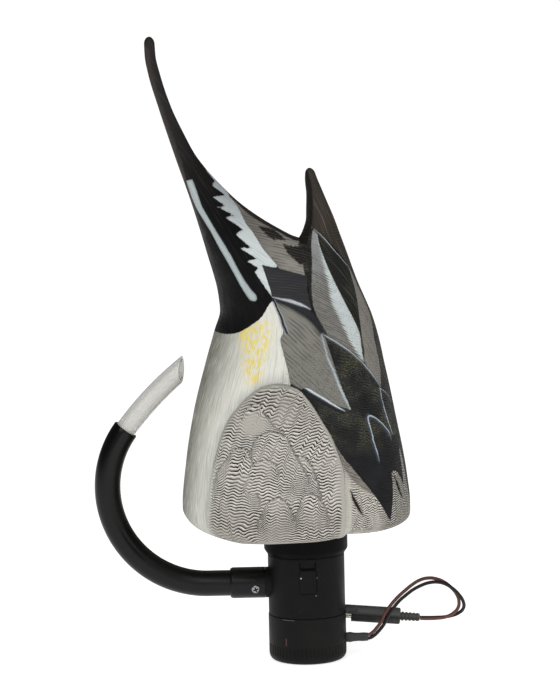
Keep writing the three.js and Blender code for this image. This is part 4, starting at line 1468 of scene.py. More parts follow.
    @staticmethod
    def _pull_in(rings: Array, inset: Array) -> None:
        """Move each ring inwards by its inset.

        Args:
            rings: The half rings, which are changed.
            inset: How far each is moved.
        """
        centre = (rings[:, :1, :2] + rings[:, -1:, :2]) / 2
        outwards = rings[:, :, :2] - centre
        radius = np.linalg.norm(outwards, axis=-1, keepdims=True)
        rings[:, :, :2] = centre + outwards * (radius - inset[:, None, None]) / radius

    def _underside(self, store: "PointStore", rim: list[int]) -> list[Face]:
        """Return the faces of the flat bottom inside its first ring.

        Args:
            store: Where points are added.
            rim: The first ring.

        Returns:
            The faces.
        """
        rim_points = np.array([store.points[i] for i in rim])
        charts = [store.charts[i] for i in rim]
        centre = rim_points.mean(axis=0)
        faces, outer = [], rim
        for share in (0.93, 0.75, 0.4):
            inner = [store.add(centre + (p - centre) * share, *c) for p, c in zip(rim_points, charts)]
            faces += between(inner, outer)
            outer = inner
        hub = store.add(centre, 150, 150)
        faces += [(hub, outer[(j + 1) % len(outer)], outer[j]) for j in range(len(outer))]
        return faces

    def _saddle(self, store: "PointStore", start: Array, around: float, steps: int) -> list[int]:
        """Add the points that cross the saddle between tail and wing, from the -Y side to the +Y side.

        Args:
            store: Where points are added.
            start: Where the saddle meets the -Y side.
            around: That point's distance from the belly line.
            steps: How many steps lead to the middle.

        Returns:
            The new points' numbers.
        """
        crossing = []
        for k in range(1, 2 * steps):
            share = abs(k / steps - 1)
            rise = (self.saddle - self.fork) * (1 - share**2)
            y = start[1] * share * (1 if k < steps else -1)
            crossing.append(store.add(np.array([start[0], y, self.fork + rise]), around, 60))
        return crossing

    @staticmethod
    def _branch(store: "PointStore", low: list[int], rows: list[list[int]], kept: Point) -> list[Face]:
        """Return the faces of the tail or the wing above the fork.

        Args:
            store: Where points are added.
            low: The closed ring that it grows from.
            rows: Its own rings.
            kept: One for the chart that goes on from the trunk, zero for the other.

        Returns:
            The faces, with the tip closed.
        """
        start = np.array([store.points[i] for i in low])
        first = np.array([store.points[i] for i in rows[0]])
        before, charts = (np.array([store.charts[i] for i in ring]) for ring in (low, rows[0]))
        before = np.where(kept, before, charts)
        steps = [low]
        for share in (0.34, 0.67):
            way = zip(start * (1 - share) + first * share, before * (1 - share) + charts * share)
            steps.append([store.add(p, *c) for p, c in way])
        steps += rows
        faces = [f for a, b in zip(steps, steps[1:]) for f in between(a, b)]
        tip = np.array([store.points[i] for i in rows[-1]]).mean(axis=0)
        hub = store.add(tip, *charts[0])
        ring = rows[-1]
        faces += [(hub, ring[j], ring[(j + 1) % len(ring)]) for j in range(len(ring))]
        return faces

    def carve(self, plumage: Plumage) -> list[Piece]:
        """Make the carved body in two pieces that meet in a smooth seam.

        Args:
            plumage: Its painted areas and carving.

        Returns:
            The trunk and the stern, with the plumage's values stored on their points.
        """
        points, faces, charts = self.shape()
        whole = new_mesh("whole", points, faces, 180)
        around, back = charts.T
        height = points[:, 2].copy()
        found = plumage.measure(around, back, height)
        clear = smooth_step(height, self.floor, self.floor + 3)
        relief = plumage.relief(found, height) * clear
        raised = points + point_normals(whole) * relief[:, None]
        rear = smooth_step(-found["flank"], 0.0, 5.0) * smooth_step(around, 120, 160)
        rise = self.underside_rise * rear * (1 - smooth_step(height, self.floor, self.floor + self.rim))
        edge = np.hypot(points[:, 0], points[:, 1])
        raised[:, 2] += rise * smooth_step(edge, self.inner_edge, self.outer_edge)
        forward = np.clip((-points[:, 0] - 50) / 37, 0, None) ** 1.2
        raised[:, 2] += self.belly_rise * forward * (1 - smooth_step(height, self.floor, self.floor + 32))
        sag = self.rim_sag(points[:, 0]) * smooth_step(edge, self.inner_edge, self.outer_edge)
        raised[:, 2] += sag * (1 - smooth_step(height, self.floor, self.floor + 26))
        whole.data.vertices.foreach_set("co", (raised * MM).ravel())
        whole.data.update()
        shading = point_normals(whole)
        bpy.data.objects.remove(whole)
        pieces = []
        for name, sign in (("duck_trunk", -1), ("duck_stern", 1)):
            chosen = [f for f in faces if sign * (points[f[0], 2] + points[f[2], 2] - 2 * self.seam) > 0]
            used = np.unique(np.concatenate([np.array(f) for f in chosen]))
            number = np.zeros(len(points), int)
            number[used] = np.arange(len(used))
            piece = new_mesh(name, raised[used], [number[list(f)].tolist() for f in chosen], 180)
            for label, values in found.items():
                kind = "FLOAT_VECTOR" if values.ndim == 2 else "FLOAT"
                layer = piece.data.attributes.new(label, kind, "POINT")
                layer.data.foreach_set("vector" if values.ndim == 2 else "value", values[used].ravel())
            piece.data.normals_split_custom_set_from_vertices(shading[used].tolist())
            pieces.append(piece)
        return pieces

    def build(self, effects: Effects) -> list[Piece]:
        """Make the body's two pieces and paint them.

        Args:
            effects: The shared effects.

        Returns:
            The pieces.
        """
        plumage = Plumage()
        feathers = PaintFinish().material(effects, plumage)
        return [dress(piece, Slot.BODY, feathers, "decoy_body") for piece in self.carve(plumage)]


def point_normals(piece: Piece) -> Array:
    """Return the normal at each point of a mesh piece.

    Args:
        piece: The piece.

    Returns:
        One row for each point.
    """
    normals = np.empty(len(piece.data.vertices) * 3)
    piece.data.vertices.foreach_get("normal", normals)
    return normals.reshape(-1, 3)


class PointStore:
    """Points that are added one by one, each with its two chart distances."""

    def __init__(self) -> None:
        """Start empty."""
        self.points: list[Array] = []
        self.charts: list[Point] = []

    def add(self, point: Array, around: float, back: float) -> int:
        """Add a point.

        Args:
            point: Its place.
            around: Its distance from the belly line.
            back: Its distance from the back line.

        Returns:
            Its number.
        """
        self.points.append(point)
        self.charts.append((float(around), float(back)))
        return len(self.points) - 1

    def mirrored(self, half: Array, around: Array, back: Array) -> list[int]:
        """Add a whole ring from its -Y half.

        Args:
            half: The half ring, from the belly side to the back.
            around: Each point's distance from the belly line.
            back: Each point's distance from the back line.

        Returns:
            The ring's point numbers.
        """
        near = [self.add(p, a, b) for p, a, b in zip(half, around, back)]
        other = half[-2:0:-1] * np.array([1, -1, 1])
        far = [self.add(p, a, b) for p, a, b in zip(other, around[-2:0:-1], back[-2:0:-1])]
        return near + far


class PlumagePainter:
    """Lays the body's colours over each other, area by area and line by line."""

    def __init__(self, kit: NodeKit, effects: Effects, plumage: Plumage) -> None:
        """Prepare the patterns that several areas share.

        Args:
            kit: The material's nodes.
            effects: The shared effects.
            plumage: The carving that the ripples follow.
        """
        self.kit = kit
        self.place = kit.place()
        barbs = kit.attribute("barbs", "Vector")
        self.wobble = kit.math("SUBTRACT", kit.noise(self.place, 420.0, 2.0), 0.5)
        self.fine = kit.effect(effects.barbs, Barbs=barbs, Pitch=0.75, Length=14.0)
        broad = kit.effect(effects.barbs, Barbs=barbs, Pitch=1.5, Length=26.0)
        self.shade, self.streak = self.fine.outputs["Shade"], broad.outputs["Shade"]
        self.carved = kit.effect(effects.barbs, Barbs=barbs, Pitch=2.1, Length=26.0).outputs["Lines"]
        pitch = kit.step(kit.attribute("flank"), -0.3, 0.3, plumage.mantle_pitch, plumage.ripple_pitch)
        ripple = kit.attribute("ripple")
        self.ripples = kit.effect(effects.ripples, Phase=ripple, Pitch=pitch, Place=self.place)
        # self.ridge is the painted highlight on the upper side of each ripple ridge.
        self.groove, self.ridge = self.ripples.outputs["Groove"], self.ripples.outputs["Highlight"]
        self.cloud = kit.noise(self.place, 55.0, 3.0)
        self.round = kit.attribute("round")
        self.height = kit.math("DIVIDE", kit.parts(self.place)[2], MM)
        self.colour: Tone = "141414"

    def inside(self, name: str, soft: float = 0.28, rough: float = 0.9) -> Socket:
        """Return an area's mask with a slightly uneven brushed edge."""
        distance = self.kit.math("ADD", self.kit.attribute(name), self.kit.both(self.wobble, rough))
        return self.kit.step(distance, -soft, soft)

    def near_edge(self, name: str, low: float, high: float, soft: float = 0.3) -> Socket:
        """Return a band between two distances inside an area."""
        distance = self.kit.math("ADD", self.kit.attribute(name), self.kit.both(self.wobble, 0.5))
        return self.kit.band(distance, low, high, soft)

    def stroke(self, name: str, soft: float = 0.25, wider: float = 0.0, shift: float = 0.0) -> Socket:
        """Return a stroke's mask.

        Args:
            name: The stroke.
            soft: How soft its edges are, in millimetres.
            wider: How much is added to its half width.
            shift: How far it is moved sideways.

        Returns:
            The mask.
        """
        kit = self.kit
        side, half_width, _ = kit.parts(kit.attribute(name, "Vector"))
        off = kit.math("ADD", side, kit.both(self.wobble, 0.35))
        off = kit.math("ABSOLUTE", kit.math("SUBTRACT", off, shift))
        return kit.step(kit.math("SUBTRACT", kit.math("ADD", half_width, wider), off), -soft, soft)

    def barbed(self, plain: Tone, dark: str, share: float, lines: Socket | None = None) -> Socket:
        """Return a feather's colour with fine barbs of a second colour."""
        return self.kit.mix(self.kit.both(self.shade if lines is None else lines, share), plain, dark)

    def lay(self, mask: Socket, colour: Tone, share: float = 1.0) -> None:
        """Lay a colour over what is painted so far."""
        self.colour = self.kit.mix(mask if share == 1.0 else self.kit.both(mask, share), self.colour, colour)

    def tail(self) -> None:
        """Paint the dark tail and its keel."""
        kit = self.kit
        dark = kit.mix(kit.step(self.height, 345.0, 460.0), "070707", "262322")
        streak = kit.mix(kit.step(self.height, 300.0, 440.0), "1a1919", "3a3736")
        self.colour = kit.mix(kit.both(self.streak, 0.5), dark, streak)
        keel = kit.both(self.inside("keel", 1.6, 2.0), kit.step(kit.attribute("belly"), 0.0, -0.5))
        # The keel's brown is kept dark, partly as painted shade along the tail's belly edge.
        brown = kit.mix(kit.step(self.height, 318.0, 385.0), "221f1d", "383330")
        self.lay(keel, self.barbed(brown, "221f1e", 0.7, self.streak))

    def wing(self) -> None:
        """Paint the black wing coverts, with light wavy barbs on their upper part, partly painted highlights
        on the ripple ridges and partly light speckle.
        """
        kit = self.kit
        upper = kit.step(self.height, 172.0, 196.0)
        black = kit.mix(kit.step(self.cloud, 0.4, 0.7), "1c1b1d", "222326")
        lustre = kit.mix(kit.step(self.cloud, 0.42, 0.66), "282927", "32332d")
        # Dark grooves, partly paint and partly painted shade.
        lustre = kit.mix(kit.both(self.groove, 0.75), lustre, "131413")
        speckle = kit.step(kit.noise(self.place, 900.0, 2.0), 0.52, 0.66)
        speckle = kit.both(speckle, kit.step(self.cloud, 0.42, 0.56))
        light = kit.mix(kit.step(self.cloud, 0.5, 0.6), "68675e", "727054")
        # Painted highlight on the upper side of the ripple ridges.
        ridge = kit.both(self.ridge, kit.step(self.cloud, 0.36, 0.55))
        lustre = kit.mix(kit.both(ridge, 0.42), lustre, light)
        lustre = kit.mix(kit.both(speckle, 0.45), lustre, light)
        self.lay(self.inside("wing_side", 0.8), kit.mix(upper, black, lustre))

    def belly(self) -> None:
        """Paint the cream belly with its upright brush strokes and yellow stain, and painted shade towards
        the belly line, where it turns away.
        """
        kit = self.kit
        # Painted shade: the cream darkens towards the belly line, where the body turns away.
        cream = kit.mix(kit.step(self.round, 14.0, 76.0), "706e63", "d9d9d0")
        cream = kit.mix(kit.step(kit.attribute("flank"), -12.0, -1.0, 0.0, 0.7), cream, "b4b5af")
        cream = kit.mix(kit.both(self.streak, 0.42), cream, "929086")
        pale = kit.both(kit.step(self.fine.outputs["Height"], 0.5, 0.66), 0.4)
        cream = kit.mix(pale, cream, "e4e4db")
        patchy = kit.step(kit.noise(kit.stretch(self.place, (620.0, 620.0, 120.0)), 1.0, 3.0), 0.38, 0.58)
        yellow = kit.both(kit.step(kit.attribute("yellow"), -6.0, 3.0), patchy)
        self.lay(self.inside("belly"), kit.mix(kit.both(yellow, 0.85), cream, "e4ce5c"))

    def rump(self) -> None:
        """Paint the stripe, the white patch and the grey rump with its dark marks and edge."""
        kit = self.kit
        self.lay(self.near_edge("stripe", -0.6, 30.0), "141415", 0.8)
        pale = kit.mix(kit.step(kit.attribute("stripe"), 0.4, 2.2), "889192", "acb5b5")
        self.lay(self.near_edge("stripe", 0.35, 30.0), self.barbed(pale, "7c8688", 0.5))
        patch = kit.mix(kit.step(self.height, 330.0, 385.0), "c9d0d0", "a2a8aa")
        self.lay(self.inside("white_patch", 0.35, 1.4), self.barbed(patch, "929c9e", 0.5))
        grey = kit.mix(kit.step(self.round, 62.0, 96.0), "76726c", "8e8b84")
        grey = kit.mix(kit.both(self.carved, 0.7), grey, "4a4641")
        self.lay(self.inside("rump", 0.9, 2.2), self.barbed(grey, "423e3a", 0.5))
        upper, lower = (self.inside(f"rump_mark_{part}", 0.8, 4.0) for part in ("upper", "lower"))
        mark = kit.math("MAXIMUM", upper, lower)
        self.lay(mark, self.barbed("23211f", "524e48", 0.5, self.carved))
        self.lay(self.inside("rump_edge", 0.7, 1.5), self.barbed("2c2724", "463f39", 0.5))

    def side(self) -> None:
        """Paint the slate feather and the side feather with its pale margins."""
        kit = self.kit
        strokes = kit.both(self.carved, kit.step(self.round, 150.0, 85.0, 0.15, 0.75))
        side = kit.mix(strokes, "7e7c75", "4c4a46")
        mask = self.inside("side_feather", 0.3)
        self.lay(mask, self.barbed(side, "5c5a55", 0.5))
        shadow = kit.both(self.near_edge("slate_shadow", -1.2, 30.0, 2.0), kit.step(self.round, 70.0, 74.0))
        self.lay(shadow, self.barbed("2a2b2e", "44464a", 0.5), 0.95)
        self.lay(self.inside("slate"), self.barbed("2f2f31", "48484a", 0.45, self.carved))
        self.lay(self.stroke("slate_line", 0.9, 0.5), "60636c", 0.7)
        self.lay(self.stroke("slate_line", 0.6, 0.05), "bec3ca", 0.95)
        self.lay(kit.both(mask, self.stroke("side_margin", 1.1, 0.6, -0.9)), "868d92", 0.75)
        self.lay(kit.both(mask, self.stroke("side_margin", 0.6, 0.0, -0.8)), "bcc5ca", 0.85)
        self.lay(self.stroke("side_hem", 0.6, 1.0, -1.6), "222326", 0.95)
        self.lay(self.stroke("side_hem", 0.7, 0.4), "646d7a", 0.75)
        self.lay(self.stroke("side_hem", 0.22), "d0d6da", 0.95)
        self.lay(self.stroke("small_line", 0.35, 0.0, 1.15), "8e959c", 0.8)
        self.lay(self.stroke("small_line", 0.35, 0.0, -1.15), "8e959c", 0.8)
        self.lay(self.stroke("small_line", 0.3, 0.2), "1e1f22", 0.95)

    def tertials(self) -> None:
        """Paint the long wing feathers, the wing tip and their bright hems."""
        kit = self.kit
        grey = kit.mix(kit.step(self.height, 290.0, 345.0), "7c7a75", "909291")
        grey = kit.mix(kit.both(self.carved, kit.step(self.height, 335.0, 300.0, 0.15, 0.8)), grey, "484643")
        ragged = kit.math("ADD", kit.attribute("tertial_band"), kit.both(self.carved, -1.6))
        pale = kit.step(ragged, -1.2, 1.7)
        grey = kit.mix(kit.both(pale, 0.95), grey, "bec6c6")
        self.lay(self.inside("tertial"), grey)
        self.lay(self.inside("grey_strip", 0.6), self.barbed("837f79", "66625d", 0.6, self.streak))
        self.lay(self.inside("tertial_dark"), self.barbed("21221f", "5e5e50", 0.62, self.streak))
        self.lay(self.inside("wing_tip", 0.4), self.barbed("36312c", "685f54", 0.7, self.streak))
        self.lay(self.inside("wing_front", 0.7, 1.2), self.barbed("1b1918", "34302d", 0.4))
        self.lay(self.stroke("tertial_hem", 1.1, 0.9), "60656c", 0.75)
        self.lay(self.stroke("tertial_hem", 0.4, 0.0), "b8bcc0", 0.85)
        self.lay(self.stroke("tip_line", 0.3), "aaafb4", 0.75)

    def coverts(self) -> None:
        """Paint the bright hooked edges of two black coverts."""
        for side, glow in (("front_vee", 0.8), ("back_vee", 0.5)):
            for leg in ("left", "right"):
                self.lay(self.stroke(f"{side}_{leg}", 1.1, 1.0, 0.9), "404852", glow)
            for leg in ("left", "right"):
                self.lay(self.stroke(f"{side}_{leg}", 0.3), "b4bfc6", 0.92)

    def mantle(self) -> Socket:
        """Paint the rippled mantle with its dark patch and its two slits, with painted highlights on its
        ridges and along its raised ridge, and painted shade towards the back line, along its foot and in and
        beside the slits, and return its mask.

        Returns:
            Where its ripples show.
        """
        kit = self.kit
        plain = kit.mix(kit.step(self.cloud, 0.35, 0.65), "d2cdc3", "c2bdb3")
        # Painted shade: darker towards the back line.
        plain = kit.mix(kit.step(self.round, 212.0, 224.0, 0.0, 0.8), plain, "76726a")
        fold = kit.both(kit.step(kit.attribute("flank"), -6.5, -2.5), kit.step(self.height, 168.0, 150.0))
        cut = kit.rest(fold)
        # Painted highlight on the upper side of each ridge, and dark grooves that are partly paint and partly
        # painted shade.
        plain = kit.mix(kit.both(self.ridge, cut), plain, "f6f2e8")
        plain = kit.mix(kit.both(self.groove, cut), plain, "282420")
        plain = kit.mix(kit.both(fold, 0.8), plain, "b6b4aa")
        mask = kit.both(self.inside("mantle", 0.35, 1.4), kit.step(kit.attribute("flank"), 0.6, 0.0))
        self.lay(mask, plain)
        streaks = kit.mix(kit.both(self.carved, 0.75), "928c82", "3a3530")
        self.lay(kit.both(self.inside("mantle_patch", 0.7, 2.0), mask), self.barbed(streaks, "423d37", 0.6))
        # Painted highlight along the raised mantle ridge.
        self.lay(self.stroke("mantle_ridge", 0.6), "beb9b0", 0.7)
        # Painted shade along the foot of the body.
        rim = kit.both(mask, kit.step(self.height, 116.0, 111.0))
        self.lay(rim, "8a8980", 0.8)
        # Painted shade in and beside each carved slit.
        for slit in ("front_slit", "back_slit"):
            self.lay(self.stroke(slit, 0.9, 0.9), "6e675e", 0.6)
            self.lay(self.stroke(slit, 0.25), "28231f")
        return kit.both(mask, cut)

    def flank(self) -> Socket:
        """Paint the rippled flank, smooth along its rims, with painted highlights on its ridges and inside
        its feather edges, painted shadow above the feather edges, and painted shade towards its foot, its top
        and its left, and return its mask.

        Returns:
            Where its ripples show.
        """
        kit = self.kit
        distance = kit.attribute("flank")
        left = kit.step(self.round, 128.0, 108.0)
        low_left = kit.both(left, kit.step(self.height, 178.0, 150.0))
        soft_mask = kit.step(distance, -1.5, 9.0)
        crisp_mask = kit.step(distance, -0.2, 0.5)
        crisp_mask = kit.both(crisp_mask, kit.rest(low_left))
        mask = kit.math("ADD", crisp_mask, kit.both(soft_mask, low_left))
        fold = kit.step(self.height, 172.0, 150.0)
        right = kit.step(kit.math("SUBTRACT", distance, kit.both(fold, 2.5)), 0.6, 2.8)
        rim = kit.math("ADD", kit.both(kit.step(distance, 0.5, 5.5), left), kit.both(right, kit.rest(left)))
        clear = kit.both(rim, kit.step(self.height, 109.5, 113.5))
        clear = kit.both(clear, kit.step(kit.attribute("smooth_spot"), 2.5, -2.5, 0.12, 1.0))
        base = kit.mix(kit.step(self.cloud, 0.35, 0.65), "c6c1b9", "b6b1a9")
        # Painted shade: the flank is darker towards its foot and towards its top.
        low = kit.step(self.height, 150.0, 118.0)
        low = kit.math("MAXIMUM", low, kit.step(self.height, 192.0, 222.0, 0.0, 0.6))
        base = kit.mix(kit.both(low, 0.7), base, "928d85")
        # Painted highlight on the upper side of each ridge, dimmer towards the foot.
        carved = kit.mix(self.ridge, base, kit.mix(low, "fffcf5", "e8e4db"))
        # Dark grooves, partly paint and partly painted shade.
        carved = kit.mix(self.groove, carved, "1c1916")
        # The smooth rims' colour, darker on the left as painted shade where the body turns away.
        light = kit.mix(left, "aaa89f", "96948b")
        light = kit.mix(kit.step(kit.attribute("smooth_spot"), -3.0, 3.0), light, "aaa59d")
        tone = kit.mix(clear, light, carved)
        # Painted highlight just inside each carved feather's edge, and painted shadow just above it.
        shown = kit.step(distance, 3.0, 6.0)
        pale = kit.both(kit.step(kit.attribute("scale_rim"), 2.0, 0.9), shown)
        tone = kit.mix(kit.both(pale, 0.6), tone, "ccc8bf")
        dark = kit.both(kit.step(kit.attribute("scale_edge"), 1.5, 0.1), shown)
        tone = kit.mix(kit.both(dark, 0.75), tone, "3e3934")
        self.lay(mask, tone)
        return kit.both(mask, clear)


@dataclass(frozen=True)
class PaintFinish:
    """The body's matt paint, with its barbs and ripples carved under it."""

    name: str = "Matt plumage paint"
    roughness: float = 0.56
    specular: float = 0.12

    def material(self, effects: Effects, plumage: Plumage) -> Material:
        """Build the paint.

        Args:
            effects: The shared effects.
            plumage: The carving that the ripples follow.

        Returns:
            The material.
        """
        material, kit, shader = new_material(self.name)
        painter = PlumagePainter(kit, effects, plumage)
        painter.tail()
        painter.wing()
        painter.belly()
        painter.rump()
        painter.side()
        painter.tertials()
        painter.coverts()
        mantle = painter.mantle()
        flank = painter.flank()
        kit.feed(shader.inputs["Base Color"], painter.colour)
        rough = kit.step(painter.cloud, 0.3, 0.7, self.roughness - 0.06, self.roughness + 0.08)
        kit.feed(shader.inputs["Roughness"], rough)
        rippled = kit.math("MAXIMUM", flank, mantle)
        feathers = kit.rest(kit.math("MAXIMUM", mantle, kit.step(kit.attribute("flank"), -0.5, 0.5)))
        lines = kit.both(kit.math("SUBTRACT", painter.fine.outputs["Height"], painter.carved), feathers)
        normal = kit.bump(lines, 0.5, 0.0007)
        wing = kit.both(painter.inside("wing_side", 3.0), kit.step(painter.height, 172.0, 196.0, 0.0, 0.4))
        waves = kit.both(painter.ripples.outputs["Height"], kit.math("MAXIMUM", rippled, wing))
        kit.feed(shader.inputs["Normal"], kit.bump(waves, 0.85, 0.0009, normal))
        shader.inputs["Specular IOR Level"].default_value = self.specular
        return material


# The pump under the body


@dataclass
class PumpUnit:
    """The round pump, with its collar, its latches and outlet, and its ribbed cap."""

    housing_radius: float = 30.9
    housing_foot: float = 38.0
    housing_top: float = 86.6
    latch_half_width: float = 6.7
    latch_turn: float = 0.032
    latch_low: float = 58.8
    latch_high: float = 77.6
    window_low: float = 78.5
    window_high: float = 84.2
    latch_height: float = 0.6
    window_depth: float = 1.6
    outlet_height: float = 63.0
    collar_radius: float = 33.7
    collar_foot: float = 86.8
    collar_top: float = 109.7
    cap_radius: float = 31.25
    cap_top: float = 37.8
    cap_corner: float = 6.5
    ribs: int = 60
    rib_depth: float = 0.45

    def collar(self) -> Piece:
        """Make the collar between the pump and the body.

        Returns:
            The collar.
        """
        profile = filleted((
            (self.housing_radius, self.collar_foot), (self.collar_radius, self.collar_foot + 4, 1.2),
            (self.collar_radius, self.collar_top)))
        return capped_loft("collar", turned_rings(profile, even_angles(96)), 50)

    def housing(self) -> Piece:
        """Make the housing with a latch and its window on both sides, and the outlet on the belly side.

        Returns:
            The housing.
        """
        radius, edge = self.housing_radius, 0.45
        rows = [np.linspace(self.housing_foot, self.housing_top, 40)]
        edges = (self.latch_low, self.latch_high, self.window_high)
        rows += [np.linspace(z - 0.9, z + 0.9, 10) for z in edges]
        rounded = edge * np.array([0.15, 0.4, 1.0])
        rows += [self.housing_foot + rounded, self.housing_top - rounded]
        heights = np.unique(np.round(np.concatenate(rows), 3))
        close = np.linspace(-17, 17, 52)
        turns = np.concatenate([np.arange(0, 360, 4.0), 90 + close, 270 + close])
        angles = np.radians(np.unique(np.round(turns, 3)))
        turned = angles - self.latch_turn
        from_side = np.minimum(np.abs(turned - math.pi / 2), np.abs(turned - 1.5 * math.pi)) * radius
        level = heights[:, None]
        near_end = np.minimum(level - self.housing_foot, self.housing_top - level)
        inset = edge * (1 - np.sqrt(1 - np.clip(1 - near_end / edge, 0, 1) ** 2))
        tab = self._rounded_box(from_side[None, :], level, self.latch_low, self.latch_high, 2.2)
        window = self._rounded_box(from_side[None, :], level, self.window_low, self.window_high, 0.8)
        out = self.latch_height * smooth_step(-tab, -0.1, 0.25)
        out = out - 0.3 * smooth_step(tab, 0.0, 0.2) * smooth_step(-tab, -0.75, -0.45)
        out = out - self.window_depth * smooth_step(-window, -0.15, 0.3)
        reach = radius - inset + out
        level = np.broadcast_to(level, reach.shape)
        rings = np.stack([reach * np.cos(angles), reach * np.sin(angles), level], -1)
        drum = capped_loft("housing_drum", rings, 35)
        profile = filleted(((12.4, 20), (12.4, 33.4, 0.15), (8.3, 33.4), (8.3, 46, 0.8), (5, 46)))
        boss = moved(turned_rings(profile, even_angles(64)), lying(self.outlet_height))
        return combined("housing", drum, capped_loft("housing_outlet", boss, 35), Join.UNION)

    def _rounded_box(self, side: Array, level: Array, low: float, high: float, corner: float) -> Array:
        """Return how far points on the housing lie outside an upright rounded box.

        Args:
            side: Distance of each point from the middle of the side.
            level: Height of each point.
            low: The box's foot.
            high: The box's top.
            corner: The radius of its corners.

        Returns:
            Millimetres, negative inside.
        """
        across = np.abs(side) - self.latch_half_width + corner
        up = np.abs(level - (low + high) / 2) - (high - low) / 2 + corner
        outside = np.hypot(np.clip(across, 0, None), np.clip(up, 0, None))
        return outside + np.minimum(np.maximum(across, up), 0) - corner

    def mark(self, name: str, left: float, right: float, low: float, high: float, radius: float) -> Piece:
        """Make a small mark that hugs the pump's near side.

        Args:
            name: The piece's name.
            left: Where it starts across.
            right: Where it ends across.
            low: Its foot.
            high: Its top.
            radius: How far it lies from the pump's axis.

        Returns:
            The mark.
        """
        across = np.linspace(left, right, 9)
        away = -np.sqrt((radius + 0.06) ** 2 - across**2)
        rows = np.array([[(x, y, z) for x, y in zip(across, away)] for z in (low, high)])
        faces = [(j, j + 1, j + 10, j + 9) for j in range(8)]
        return new_mesh(name, rows.reshape(-1, 3), faces, 50)

    def cap(self) -> Piece:
        """Make the cap with its rounded foot and fine upright ribs.

        Returns:
            The cap.
        """
        profile = filleted((
            (22, 0), (self.cap_radius, 0, self.cap_corner), (self.cap_radius, 22),
            (self.cap_radius, self.cap_top, 0.5), (29, self.cap_top)), 9)
        radius, height = np.array(profile).T
        extra = np.linspace(self.cap_corner + 0.2, 18, 16)
        radius = np.concatenate([radius[:10], np.full(16, self.cap_radius), radius[10:]])
        height = np.concatenate([height[:10], extra, height[10:]])
        angles = even_angles(self.ribs * 8)
        ridge = smooth_step(np.cos(angles * self.ribs), -0.75, -0.1)
        ribbed = smooth_step(height, 5.2, 6.5) * (1 - smooth_step(height, 13.6, 15.2))
        reach = radius[:, None] - self.rib_depth * ribbed[:, None] * (1 - ridge[None, :])
        level = np.broadcast_to(height[:, None], reach.shape)
        rings = np.stack([reach * np.cos(angles), reach * np.sin(angles), level], -1)
        return capped_loft("cap", rings, 35)

    def marks(self, effects: Effects) -> list[Piece]:
        """Make and dress the painted glints, the painted highlight along the cap's seam and the red mark.

        Args:
            effects: The shared effects.

        Returns:
            The marks.
        """
        wall, foot = self.housing_radius, self.cap_radius
        latch = wall + self.latch_height
        table = (
            # Painted glints on and beside the latch, a painted highlight along the cap's seam, and the red
            # mark.
            ("latch_glint", PAINTED_GLINT, Slot.PUMP, "pump_housing", (-5.1, -4.1, 71.0, 72.0, latch)),
            ("side_glint", PAINTED_DIM_HIGHLIGHT, Slot.PUMP, "pump_housing", (7.8, 8.7, 71.1, 71.9, wall)),
            ("low_glint", PAINTED_DIM_HIGHLIGHT, Slot.PUMP, "pump_housing", (6.6, 7.8, 56.5, 57.6, wall)),
            ("seam_highlight", PAINTED_DIM_HIGHLIGHT, Slot.CAP, "motor_cap", (-20.0, -10.5, 36.7, 37.1, foot)),
            ("red_mark", DULL_RED, Slot.CAP, "motor_cap", (-18.0, -16.9, 15.6, 21.8, foot)),
        )
        return [
            dress(self.mark(name, *box), slot, finish.material(effects), node)
            for name, finish, slot, node, box in table
        ]

    def build(self, effects: Effects) -> list[Piece]:
        """Make and dress the collar, the housing, the cap and their marks.

        Args:
            effects: The shared effects.

        Returns:
            The pieces.
        """
        return [
            # The collar's black plastic is darkened as painted shade under the body.
            dress(self.collar(), Slot.PUMP, SHADED_BLACK_PLASTIC.material(effects), "mounting_collar"),
            dress(self.housing(), Slot.PUMP, PUMP_PLASTIC.material(effects), "pump_housing"),
            dress(self.cap(), Slot.CAP, CAP_PLASTIC.material(effects), "motor_cap"),
            *self.marks(effects),
        ]


def lying(height: float) -> Matrix:
    """Return the matrix that lays an upright turned piece along -X at a height."""
    return Matrix.Translation((0, 0, height)) @ Matrix.Rotation(-math.pi / 2, 4, "Y")


# The hose and the nozzle


